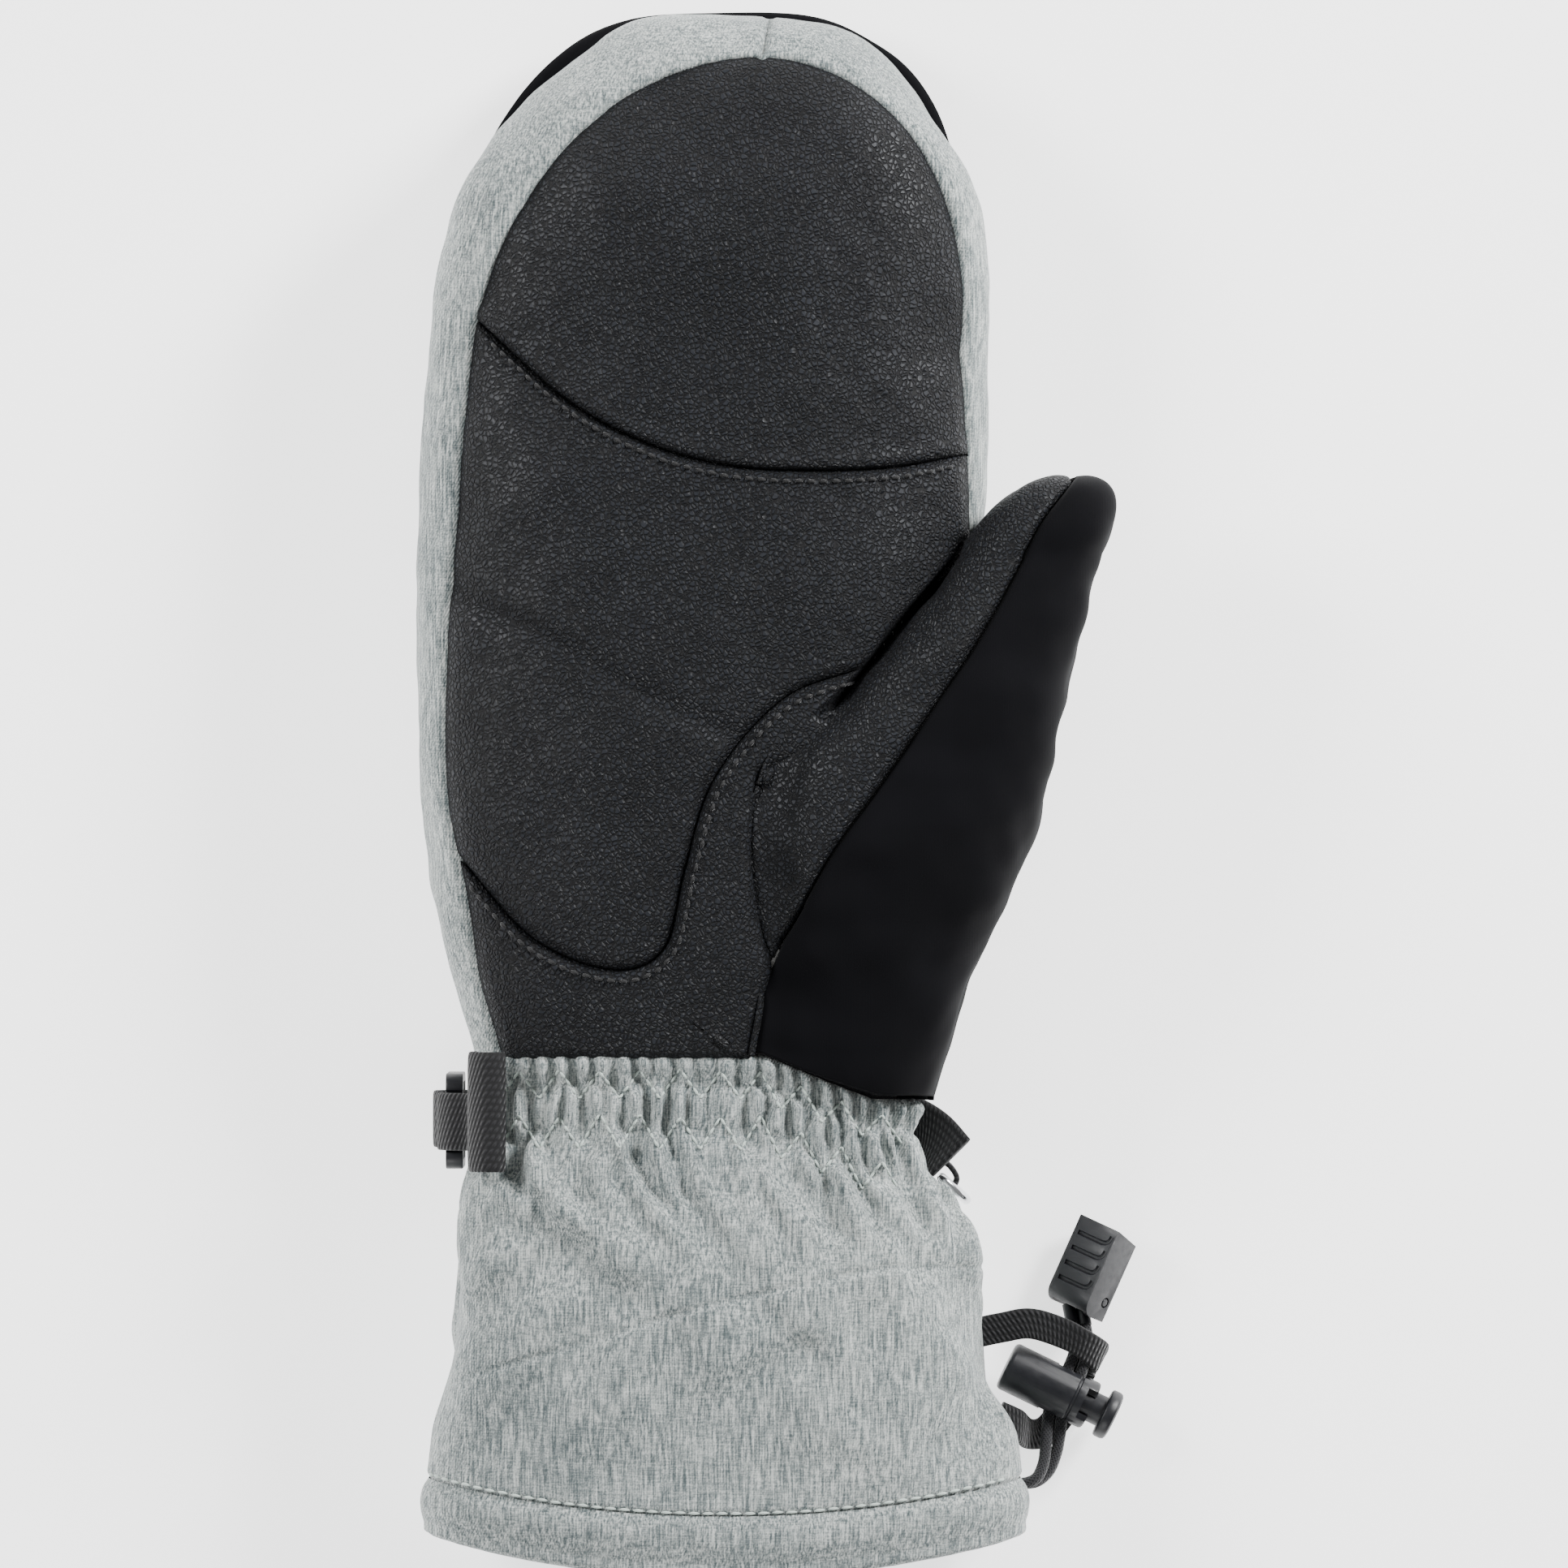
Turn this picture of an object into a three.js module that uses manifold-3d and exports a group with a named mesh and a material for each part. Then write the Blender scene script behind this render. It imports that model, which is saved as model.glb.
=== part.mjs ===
// A ski mitten for the right hand, lying on its back with the palm up.
// Millimetres. +X is the thumb side, +Y the fingers, +Z out of the palm. The floor is z = 0.
import * as THREE from 'three';
import { mergeVertices } from 'three/addons/utils/BufferGeometryUtils.js';
import Module from 'manifold-3d';

const wasm = await Module();
wasm.setup();

// Driving dimensions
const FABRIC = 1.2;              // thickness of every outer panel
const WADDING = [1.9, 4.2];      // insulation, as depths below the outer surface
const FLEECE = [5.2, 6.2];       // liner, as depths below the outer surface
const SEAM_GAP = 0.4;            // clearance between neighbouring panels
const SECTION_POWER = 2.6;       // roundness of the mitten's cross-section
const GUSSET_LOW = 12;           // height where the gusset meets the back panel
const PALM_LOW = 26;             // the palm panels reach down to here at their edges
const SIDES = 20;                // points round each cross-section
const PANEL_DETAIL = 0.02;       // panel triangles that differ by less than this are joined
const LINING_DETAIL = 0.06;      // the same for the layers inside
const CORD_RADIUS = 1.25;        // 2.5 mm elastic cord
const WEBBING = 1.2;             // thickness of woven webbing
const FAR = 300;                 // larger than the mitten
const BELOW_FLOOR = -1;

// The hand, by stations along Y: [y, left x, right x, low z, high z]
const HAND = {
  stations: [
    [-75, -57, 33, 11, 44], [-57, -58.6, 34.5, 9, 45.5], [-45, -62, 36, 4, 48], [-33, -65.5, 38, 0, 50],
    [-14, -68.9, 41, -3, 52], [5, -70.5, 43, -3.5, 53], [32, -71, 44.5, -3.5, 53], [60, -70.7, 45, -3.5, 52],
    [90, -68.7, 45.9, -3, 50],
  ],
  tip: { length: 73.5, x: -6.8, power: 2.3 },
  steps: 8,
  tipSteps: 6,
};

// The thumb, from the wrist to its tip
const THUMB = {
  stations: [
    [-75, -5, 33, 12, 43], [-57, -4, 36, 12, 46], [-45, -2, 42, 13, 50], [-30, -3, 48.5, 15, 55],
    [-10, -3, 57.5, 17, 59], [5, 1, 60.5, 19, 60], [20, 18, 64.6, 21, 59], [35, 29.5, 68.3, 23, 57],
    [48, 40.5, 71, 25, 54],
  ],
  tip: { length: 17.8, x: 64.5, power: 2.2 },
  steps: 8,
  tipSteps: 4,
};

// The cuff, open at both ends; curl moves its sides towards the fingers, so that the hem is curved
const CUFF = {
  stations: [
    [-172, -70.8, 55.5, -2, 44, 8.5], [-145, -70.2, 53.6, -3, 47, 6], [-126, -67.7, 48.7, -3, 48, 2],
    [-108, -65.3, 46, -1, 48, 0], [-95, -64, 44, 3, 47, 0], [-84, -62.8, 37, 7, 45.5, 0],
    [-75, -58.5, 32.5, 10, 44, 0], [-66, -57.5, 33, 11, 43.5, 0], [-50, -60, 36, 9, 46, 0],
  ],
  steps: 11,
};

const THUMB_HINGE = { x: 33, y: -24, radius: 38, gap: 0.5 };
const GROOVE_CLEARANCE = 1.0;    // the palm stays this far from the thumb that lies over it
const TIP_SEAM_X = 0.85;         // the two gusset strips meet here at the fingertips

// Materials
const LEATHER = { color: 0x26282d, roughness: 0.55 };
const GREY_TWILL = { color: 0x9aa3a3, roughness: 0.9 };
const SOFTSHELL = { color: 0x0b0b0e, roughness: 0.8 };
const WADDING_WHITE = { color: 0xd8d8d2, roughness: 1 };
const FLEECE_BLACK = { color: 0x1c1c1f, roughness: 1 };
const ELASTIC = { color: 0xe6e6e0, roughness: 0.9 };
const CORD_BLACK = { color: 0x101013, roughness: 0.8 };
const WEBBING_BLACK = { color: 0x141416, roughness: 0.85 };
const PLASTIC = { color: 0x1b1d26, roughness: 0.45 };
const STEEL = { color: 0xc9ccd1, roughness: 0.25, metalness: 1 };

const model = new THREE.Group();
// Shapes are drawn with x = 0 between the hand and the thumb; the origin is the middle of the whole box.
model.position.x = -2.7;

function addMesh(name, geometry, material, parent = model) {
  const mesh = new THREE.Mesh(geometry, new THREE.MeshStandardMaterial(material));
  mesh.name = name;
  parent.add(mesh);
  return mesh;
}

// ---------- solids: join and cut ----------

function toSolid(geometry) {
  geometry.deleteAttribute('normal');
  geometry.deleteAttribute('uv');
  const merged = mergeVertices(geometry, 1e-4);
  return new wasm.Manifold(new wasm.Mesh({
    numProp: 3,
    vertProperties: new Float32Array(merged.attributes.position.array),
    triVerts: new Uint32Array(merged.index.array),
  }));
}

// The largest body of a solid: panel edges can leave slivers, which are dropped.
function mainBody(solid, detail) {
  const bodies = solid.simplify(detail).decompose();
  return bodies.reduce((best, body) => (body.volume() > best.volume() ? body : best));
}

function toGeometry(solid, detail = PANEL_DETAIL) {
  const mesh = mainBody(solid, detail).getMesh();
  const geometry = new THREE.BufferGeometry();
  geometry.setAttribute('position', new THREE.BufferAttribute(mesh.vertProperties, 3));
  geometry.setIndex(new THREE.BufferAttribute(mesh.triVerts, 1));
  geometry.computeVertexNormals();
  return geometry;
}

function box(low, high) {
  const size = high.map((value, axis) => value - low[axis]);
  const geometry = new THREE.BoxGeometry(...size);
  geometry.translate(...low.map((value, axis) => value + size[axis] / 2));
  return toSolid(geometry);
}

// A plan outline raised to a solid between two heights.
function prism(shape, low, high, segments = 1) {
  const settings = { depth: high - low, bevelEnabled: false, curveSegments: segments };
  const geometry = new THREE.ExtrudeGeometry(shape, settings);
  geometry.translate(0, 0, low);
  return toSolid(geometry);
}

function disc(x, y, radius, low, high) {
  const geometry = new THREE.CylinderGeometry(radius, radius, high - low, 48);
  geometry.rotateX(Math.PI / 2);
  geometry.translate(x, y, (low + high) / 2);
  return toSolid(geometry);
}

// ---------- lofts along Y ----------

function signedPower(value, power) {
  return Math.sign(value) * Math.abs(value) ** power;
}

function interpolateStations(stations) {
  const sorted = [...stations].sort((a, b) => a[0] - b[0]);
  const width = sorted[0].length - 1;
  const values = new Float32Array(sorted.flatMap((row) => row.slice(1)));
  const places = sorted.map((row) => row[0]);
  const interpolant = new THREE.CubicInterpolant(places, values, width, new Float32Array(width));
  return (y) => Array.from(interpolant.evaluate(y));
}

// One cross-section; no point of it goes below the floor height, so that the back rests flat.
function sectionRing(y, [left, right, low, high, curl = 0], inset, floor) {
  const ring = [];
  for (let side = 0; side < SIDES; side += 1) {
    const angle = (side / SIDES) * 2 * Math.PI;
    const across = signedPower(Math.cos(angle), 2 / SECTION_POWER);
    const up = signedPower(Math.sin(angle), 2 / SECTION_POWER);
    const x = (left + right) / 2 + ((right - left) / 2 - inset) * across;
    const z = (low + high) / 2 + ((high - low) / 2 - inset) * up;
    ring.push(new THREE.Vector3(x, y + curl * across * across, Math.max(z, floor)));
  }
  return ring;
}

function tipRings(body, row, inset) {
  const startY = body.stations.at(-1)[0];
  const { length, x: tipX, power } = body.tip;
  const rings = [];
  for (let step = 1; step < body.tipSteps; step += 1) {
    const angle = (step / body.tipSteps) * (Math.PI / 2);
    const along = Math.sin(angle) ** (2 / power);
    const shrink = Math.cos(angle) ** (2 / power);
    const middle = THREE.MathUtils.lerp((row[0] + row[1]) / 2, tipX, along);
    const height = (row[2] + row[3]) / 2;
    const halfWidth = ((row[1] - row[0]) / 2 - inset) * shrink;
    const halfHeight = ((row[3] - row[2]) / 2 - inset) * shrink;
    const section = [middle - halfWidth, middle + halfWidth, height - halfHeight, height + halfHeight];
    rings.push(sectionRing(startY + (length - inset) * along, section, 0, inset));
  }
  return rings;
}

// Joins rings into a closed solid; each end is closed by a fan round one point.
function skinRings(rings, firstPoint, lastPoint) {
  const points = [...rings.flat(), firstPoint, lastPoint];
  const first = points.length - 2;
  const last = points.length - 1;
  const index = [];
  for (let side = 0; side < SIDES; side += 1) {
    const next = (side + 1) % SIDES;
    for (let ring = 0; ring + 1 < rings.length; ring += 1) {
      const a = ring * SIDES;
      const b = a + SIDES;
      index.push(a + side, b + next, a + next, a + side, b + side, b + next);
    }
    const end = (rings.length - 1) * SIDES;
    index.push(first, side, next, last, end + next, end + side);
  }
  const geometry = new THREE.BufferGeometry().setFromPoints(points);
  geometry.setIndex(index);
  return toSolid(geometry);
}

function centreOf(ring) {
  const sum = ring.reduce((total, point) => total.add(point), new THREE.Vector3());
  return sum.divideScalar(ring.length);
}

// The solid inside a body's surface, moved inwards by inset.
function loft(body, inset = 0) {
  const at = interpolateStations(body.stations);
  const ends = body.stations.map((row) => row[0]);
  const from = Math.min(...ends);
  const to = Math.max(...ends);
  const rings = [];
  for (let step = 0; step <= body.steps; step += 1) {
    const y = THREE.MathUtils.lerp(from, to, step / body.steps);
    rings.push(sectionRing(y, at(y), inset, inset));
  }
  let lastPoint = centreOf(rings.at(-1));
  if (body.tip) {
    const row = at(to);
    rings.push(...tipRings(body, row, inset));
    lastPoint = new THREE.Vector3(body.tip.x, to + body.tip.length - inset, (row[2] + row[3]) / 2);
  }
  return skinRings(rings, centreOf(rings[0]), lastPoint);
}

// ---------- plan outlines ----------

function points2(pairs) {
  return pairs.map(([x, y]) => new THREE.Vector2(x, y));
}

function smoothShape(curvePairs, cornerPairs, samples = 24) {
  const curve = new THREE.SplineCurve(points2(curvePairs));
  return new THREE.Shape([...curve.getPoints(samples), ...points2(cornerPairs)]);
}

const PALM_EDGES = [
  [-80, -50, 40], [-57, -54.4, 40], [-42, -58.8, 42], [-23, -62, 44], [-5, -65.6, 44], [32, -65.8, 43.5],
  [60, -63.6, 43.2], [90, -61, 41.5],
];
const PALM_TIP = { y: 152, x: -1.7 };

function palmOutline(grow) {
  const at = interpolateStations(PALM_EDGES);
  const startY = PALM_EDGES.at(-1)[0];
  const left = [];
  const right = [];
  for (let y = PALM_EDGES[0][0]; y <= startY; y += 10) {
    const [leftX, rightX] = at(y);
    left.push([leftX - grow, y]);
    right.push([rightX + grow, y]);
  }
  const [endLeft, endRight] = at(startY);
  for (let step = 1; step < 12; step += 1) {
    const angle = (step / 12) * (Math.PI / 2);
    const middle = THREE.MathUtils.lerp((endLeft + endRight) / 2, PALM_TIP.x, Math.sin(angle));
    const half = ((endRight - endLeft) / 2 + grow) * Math.cos(angle);
    const y = startY + (PALM_TIP.y + grow - startY) * Math.sin(angle);
    left.push([middle - half, y]);
    right.push([middle + half, y]);
  }
  return new THREE.Shape(points2([...left, [PALM_TIP.x, PALM_TIP.y + grow], ...right.reverse()]));
}

// The crease seam across the fingers' roots
const CREASE = [
  [-90, 120], [-59.5, 96.9], [-40.8, 80.2], [-23.8, 70.9], [-6.8, 66.3], [10.2, 65.3], [27.2, 66.1],
  [43.4, 69.2], [70, 76],
];
// The seam round the heel and up between the palm and the thumb
const HEEL_SEAM = [
  [-90, 20], [-64.3, -14.1], [-47.6, -32], [-30.6, -38.5], [-20.4, -33.7], [-16.2, -17.5], [-10.2, 1.2],
  [3.4, 17.3], [18.7, 23.6], [34, 28], [70, 30],
];
// The fold where the thumb's inner panel starts, and the seam between its leather and its softshell
const THUMB_FOLD = [
  [60, 38], [36, 31], [22, 24], [1.7, 10.5], [-3, -10], [-2, -25], [0, -36], [-3, -45], [-6, -57], [-7, -80],
];
const THUMB_SEAM = [
  [-7.5, -80], [-5.4, -55], [-2.5, -43.9], [11.9, -17.5], [23.8, -0.5], [34, 14.8], [44.2, 30.1],
  [53.6, 47.1], [58, 59], [63, 80],
];
// The seam between the hand and the cuff, lower under the thumb
const WRIST_SEAM = [[-100, -57], [-30, -56], [0, -56.5], [14, -62], [24, -65.5], [40, -66], [100, -66]];

function shifted(pairs, dx, dy) {
  return pairs.map(([x, y]) => [x + dx, y + dy]);
}

// Each of these is the space on one side of a seam, as a tall block.
function aboveCrease(dy) {
  return prism(smoothShape(shifted(CREASE, 0, dy), [[70, FAR], [-90, FAR]]), BELOW_FLOOR, FAR);
}

function aboveHeelSeam(dy) {
  const samples = 40;
  return prism(smoothShape(shifted(HEEL_SEAM, 0, dy), [[70, FAR], [-90, FAR]], samples), BELOW_FLOOR, FAR);
}

function rightOfFold(grow) {
  const samples = 32;
  const outline = smoothShape(shifted(THUMB_FOLD, -grow, grow), [[90, -80], [90, 38]], samples);
  return prism(outline, GUSSET_LOW + SEAM_GAP, FAR);
}

function rightOfThumbSeam(dx) {
  return prism(smoothShape(shifted(THUMB_SEAM, dx, 0), [[110, 80], [110, -80]]), BELOW_FLOOR, FAR);
}

function aboveWristSeam(dy) {
  return prism(smoothShape(shifted(WRIST_SEAM, 0, dy), [[100, FAR], [-100, FAR]]), -FAR, FAR);
}

// ---------- the hand and the thumb ----------

// Everything of the thumb past the arc round its hinge can turn; the rest stays with the hand.
function pastThumbArc(extra) {
  const { x, y, radius } = THUMB_HINGE;
  return box([-FAR, y, -FAR], [FAR, FAR, FAR]).subtract(disc(x, y, radius + extra, -FAR, FAR));
}

const handRegion = aboveWristSeam(0);
// Deeper solids reach slightly further past a cut, so that a layer between two depths is open there.
const REACH = 0.02;

function handSolid(depth) {
  const groove = loft(THUMB, -(depth + GROOVE_CLEARANCE)).intersect(pastThumbArc(0));
  const thumbBase = loft(THUMB, depth).subtract(pastThumbArc(depth * REACH));
  return loft(HAND, depth).subtract(groove).add(thumbBase);
}

function thumbSolid(depth) {
  return loft(THUMB, depth).intersect(pastThumbArc(THUMB_HINGE.gap - depth * REACH));
}

function layer(solidAt, [outer, inner]) {
  return solidAt(outer).subtract(solidAt(inner));
}

function handLayer(depths) {
  return layer(handSolid, depths).intersect(handRegion);
}

function buildHand() {
  const shell = handLayer([0, FABRIC]);
  const palmColumn = prism(palmOutline(0), PALM_LOW, FAR);
  const thumbTerritory = rightOfFold(0);
  const palm = shell.intersect(palmColumn).subtract(rightOfFold(SEAM_GAP));
  const finger = palm.intersect(aboveCrease(0));
  const belowCrease = palm.subtract(aboveCrease(-SEAM_GAP));
  addMesh('palm_finger_panel', toGeometry(finger), LEATHER);
  addMesh('palm_centre_panel', toGeometry(belowCrease.intersect(aboveHeelSeam(0))), LEATHER);
  addMesh('palm_heel_panel', toGeometry(belowCrease.subtract(aboveHeelSeam(-SEAM_GAP))), LEATHER);

  const back = shell.intersect(box([-FAR, -FAR, -FAR], [FAR, FAR, GUSSET_LOW]));
  addMesh('back_panel', toGeometry(back), SOFTSHELL);

  const sides = shell.subtract(box([-FAR, -FAR, -FAR], [FAR, FAR, GUSSET_LOW + SEAM_GAP]))
    .subtract(prism(palmOutline(SEAM_GAP), PALM_LOW - SEAM_GAP, FAR))
    .subtract(rightOfFold(SEAM_GAP));
  const leftSide = sides.intersect(box([-FAR, -FAR, -FAR], [TIP_SEAM_X - SEAM_GAP / 2, FAR, FAR]));
  const rightSide = sides.intersect(box([TIP_SEAM_X + SEAM_GAP / 2, -FAR, -FAR], [FAR, FAR, FAR]));
  addMesh('gusset_little_finger_side', toGeometry(leftSide), GREY_TWILL);
  addMesh('gusset_index_side', toGeometry(rightSide), GREY_TWILL);

  const thumbRoot = shell.intersect(thumbTerritory);
  addMesh('thumb_base_inner_panel', toGeometry(thumbRoot.subtract(rightOfThumbSeam(-SEAM_GAP))), LEATHER);
  addMesh('thumb_base_outer_panel', toGeometry(thumbRoot.intersect(rightOfThumbSeam(0))), SOFTSHELL);

  addMesh('insulation_hand', toGeometry(handLayer(WADDING), LINING_DETAIL), WADDING_WHITE);
  addMesh('liner_hand', toGeometry(handLayer(FLEECE), LINING_DETAIL), FLEECE_BLACK);
}

function buildThumb() {
  const shell = layer(thumbSolid, [0, FABRIC]);
  addMesh('thumb_inner_panel', toGeometry(shell.subtract(rightOfThumbSeam(-SEAM_GAP))), LEATHER);
  addMesh('thumb_outer_panel', toGeometry(shell.intersect(rightOfThumbSeam(0))), SOFTSHELL);
  addMesh('insulation_thumb', toGeometry(layer(thumbSolid, WADDING), LINING_DETAIL), WADDING_WHITE);
  addMesh('liner_thumb', toGeometry(layer(thumbSolid, FLEECE), LINING_DETAIL), FLEECE_BLACK);
}

// ---------- the cuff ----------

const HEM = { top: -152, tunnel: -160, tunnelEnd: 2, end: -163.6, depth: 6, wall: 0.8, eyelet: 3.4 };
const CUFF_SPLIT = 23;           // height of the side seams
const LINING = [3.0, 3.8];       // depths below the cuff's outer surface
const WRIST_BANDS = [[-72, -66], [-83, -77]];
const CORD_EXIT = new THREE.Vector3(53.6, -147.4, 14);

const cuffSolid = (depth) => loft(CUFF, depth);

// The hem's curve in plan, about its lowest point
const HEM_CURVE = [
  [-100, 8.5], [-72, 8.5], [-60, 5.5], [-40, 2], [-8, 0], [24, 2], [44, 5.5], [56, 8.5], [100, 8.5],
];

// The part of the cuff between two curved lines that follow the hem.
function hemRegion(fromY, toY) {
  const curve = (y) => new THREE.SplineCurve(points2(shifted(HEM_CURVE, 0, y)));
  const lower = curve(fromY);
  const upper = curve(toY);
  return prism(new THREE.Shape([...lower.getPoints(24), ...upper.getPoints(24).reverse()]), -FAR, FAR);
}

function buildCuff() {
  const tube = hemRegion(HEM.top, FAR).subtract(aboveWristSeam(-SEAM_GAP));
  const shell = layer(cuffSolid, [0, FABRIC]).intersect(tube);
  const topHalf = box([-FAR, -FAR, CUFF_SPLIT + SEAM_GAP], [FAR, FAR, FAR]);
  const bottomHalf = box([-FAR, -FAR, -FAR], [FAR, FAR, CUFF_SPLIT]);
  addMesh('cuff_palm_panel', toGeometry(shell.intersect(topHalf)), GREY_TWILL);
  addMesh('cuff_back_panel', toGeometry(shell.intersect(bottomHalf)), GREY_TWILL);
  const lining = layer(cuffSolid, LINING).intersect(tube);
  addMesh('cuff_lining', toGeometry(lining, LINING_DETAIL), FLEECE_BLACK);
  WRIST_BANDS.forEach(([from, to], number) => {
    const band = layer(cuffSolid, [FABRIC + SEAM_GAP, LINING[0] - SEAM_GAP]);
    const ring = band.intersect(box([-FAR, from, -FAR], [FAR, to, FAR]));
    addMesh(`wrist_elastic_${number + 1}`, toGeometry(ring), ELASTIC);
  });
  const hemWall = layer(cuffSolid, [0, HEM.depth]).intersect(hemRegion(HEM.end, HEM.top - SEAM_GAP));
  const tunnelWalls = [HEM.wall, HEM.depth - HEM.wall];
  const tunnel = layer(cuffSolid, tunnelWalls).intersect(hemRegion(HEM.tunnel, HEM.top - HEM.tunnelEnd));
  const eyelet = new THREE.CylinderGeometry(HEM.eyelet, HEM.eyelet, HEM.depth, 12);
  eyelet.rotateZ(Math.PI / 2);
  eyelet.translate(CORD_EXIT.x, CORD_EXIT.y, CORD_EXIT.z);
  addMesh('hem_channel', toGeometry(hemWall.subtract(tunnel).subtract(toSolid(eyelet))), GREY_TWILL);
}

// ---------- tubes and webbing ----------

function circleShape(radius, sides) {
  const outline = [];
  for (let side = 0; side < sides; side += 1) {
    const angle = (side / sides) * 2 * Math.PI;
    outline.push(new THREE.Vector2(radius * Math.cos(angle), radius * Math.sin(angle)));
  }
  return new THREE.Shape(outline);
}

function tube(points, radius, steps, sides = 8) {
  const path = new THREE.CatmullRomCurve3(points, false, 'centripetal');
  const settings = { steps, bevelEnabled: false, extrudePath: path };
  return new THREE.ExtrudeGeometry(circleShape(radius, sides), settings);
}

function openCurve(points) {
  return new THREE.CatmullRomCurve3(points.map((point) => new THREE.Vector3(...point)), false, 'centripetal');
}

// Flat webbing along a curve. Each row is [x, y, z, wx, wy, wz], where w is the direction of its width.
function webbing(rows, width, steps) {
  const centre = openCurve(rows.map((row) => row.slice(0, 3)));
  const wide = openCurve(rows.map((row) => row.slice(3)));
  const points = [];
  for (let step = 0; step <= steps; step += 1) {
    const along = step / steps;
    const middle = centre.getPoint(along);
    const across = wide.getPoint(along);
    across.addScaledVector(centre.getTangent(along), -across.dot(centre.getTangent(along))).normalize();
    const thick = new THREE.Vector3().crossVectors(centre.getTangent(along), across);
    thick.multiplyScalar(WEBBING / 2);
    across.multiplyScalar(width / 2);
    for (const [a, b] of [[1, 1], [-1, 1], [-1, -1], [1, -1]]) {
      points.push(middle.clone().addScaledVector(across, a).addScaledVector(thick, b));
    }
  }
  const index = [0, 2, 1, 0, 3, 2];
  for (let ring = 0; ring < steps * 4; ring += 4) {
    for (let side = 0; side < 4; side += 1) {
      const next = (side + 1) % 4;
      index.push(ring + side, ring + next, ring + 4 + next, ring + side, ring + 4 + next, ring + 4 + side);
    }
  }
  const end = steps * 4;
  index.push(end, end + 1, end + 2, end, end + 2, end + 3);
  const geometry = new THREE.BufferGeometry().setFromPoints(points);
  geometry.setIndex(index);
  geometry.computeVertexNormals();
  return geometry;
}

// The drawcord runs round inside the hem from one side of the eyelet to the other.
function buildHemCord() {
  const at = interpolateStations(CUFF.stations);
  const [left, right, low, high, curl] = at(HEM.tunnel);
  const depth = HEM.depth / 2;
  const points = [];
  const route = { startAngle: -0.12, opening: 0.3, points: 40, rise: 3, steps: 44 };
  for (let step = 0; step <= route.points; step += 1) {
    const angle = route.startAngle + (step / route.points) * (2 * Math.PI - route.opening);
    const across = signedPower(Math.cos(angle), 2 / SECTION_POWER);
    const up = signedPower(Math.sin(angle), 2 / SECTION_POWER);
    const x = (left + right) / 2 + ((right - left) / 2 - depth) * across;
    const z = Math.max((low + high) / 2 + ((high - low) / 2 - depth) * up, depth);
    points.push(new THREE.Vector3(x, HEM.tunnel + route.rise + curl * across * across, z));
  }
  addMesh('hem_drawcord', tube(points, CORD_RADIUS, route.steps), CORD_BLACK);
}

// ---------- the cord lock ----------

const LOCK = {
  closedEnd: new THREE.Vector3(51.2, -122.2, 9.2), turn: -26, length: 20, radius: 5.25, bore: 3.7,
  floor: 1.4, slotStart: 10, slotEnd: 17, slotHeight: 3.3, travel: 2.4,
  stemStart: 6.8, stem: 3.3, headGap: 2.6, head: 2.8, headRadius: 5.3, headOverlap: 0.5,
};
// The bridge under the barrel that the webbing loop goes through
const BRIDGE = { from: 10.8, to: 20, halfWidth: 4, low: -8.6, high: -3, wall: 0.8, slot: [-7.6, -5.4] };
const SPRING = { start: 1.95, length: 1.95, radius: 2.6, wire: 0.28, turns: 2.25, points: 27, steps: 36 };

// A cylinder lying along +X between two distances.
function rod(from, to, radius, sides = 20) {
  const geometry = new THREE.CylinderGeometry(radius, radius, to - from, sides);
  geometry.rotateZ(Math.PI / 2);
  geometry.translate((from + to) / 2, 0, 0);
  return toSolid(geometry);
}

function buildCordLock() {
  const lock = new THREE.Group();
  lock.position.copy(LOCK.closedEnd);
  lock.rotation.z = THREE.MathUtils.degToRad(LOCK.turn);
  model.add(lock);

  const halfSlot = LOCK.slotHeight / 2;
  const crossSlot = box([LOCK.slotStart, -FAR, -halfSlot], [LOCK.slotEnd, FAR, halfSlot]);
  const { from, to, halfWidth, wall, slot: [slotLow, slotHigh] } = BRIDGE;
  const bridge = box([from, -halfWidth, BRIDGE.low], [to, halfWidth, BRIDGE.high])
    .subtract(box([from + wall, -FAR, slotLow], [to - wall, FAR, slotHigh]));
  const barrel = rod(0, LOCK.length, LOCK.radius).add(bridge)
    .subtract(rod(LOCK.floor, LOCK.length + 1, LOCK.bore))
    .subtract(crossSlot);
  addMesh('cord_lock_barrel', toGeometry(barrel), PLASTIC, lock);

  const headStart = LOCK.length + LOCK.headGap;
  const stemSlot = box([LOCK.slotStart, -FAR, -halfSlot], [LOCK.slotEnd + LOCK.travel, FAR, halfSlot]);
  const plunger = rod(LOCK.stemStart, headStart + LOCK.headOverlap, LOCK.stem)
    .add(rod(headStart, headStart + LOCK.head, LOCK.headRadius, 24))
    .subtract(stemSlot);
  addMesh('cord_lock_plunger', toGeometry(plunger), PLASTIC, lock);

  const coil = [];
  for (let step = 0; step <= SPRING.points; step += 1) {
    const along = step / SPRING.points;
    const angle = along * SPRING.turns * 2 * Math.PI;
    const x = SPRING.start + along * SPRING.length;
    coil.push(new THREE.Vector3(x, SPRING.radius * Math.cos(angle), SPRING.radius * Math.sin(angle)));
  }
  addMesh('cord_lock_spring', tube(coil, SPRING.wire, SPRING.steps, 6), STEEL, lock);
}

// The webbing loop that ties the lock to the cuff, through the bridge under the barrel.
const LOCK_LOOP_WIDTH = 6.4;

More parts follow.
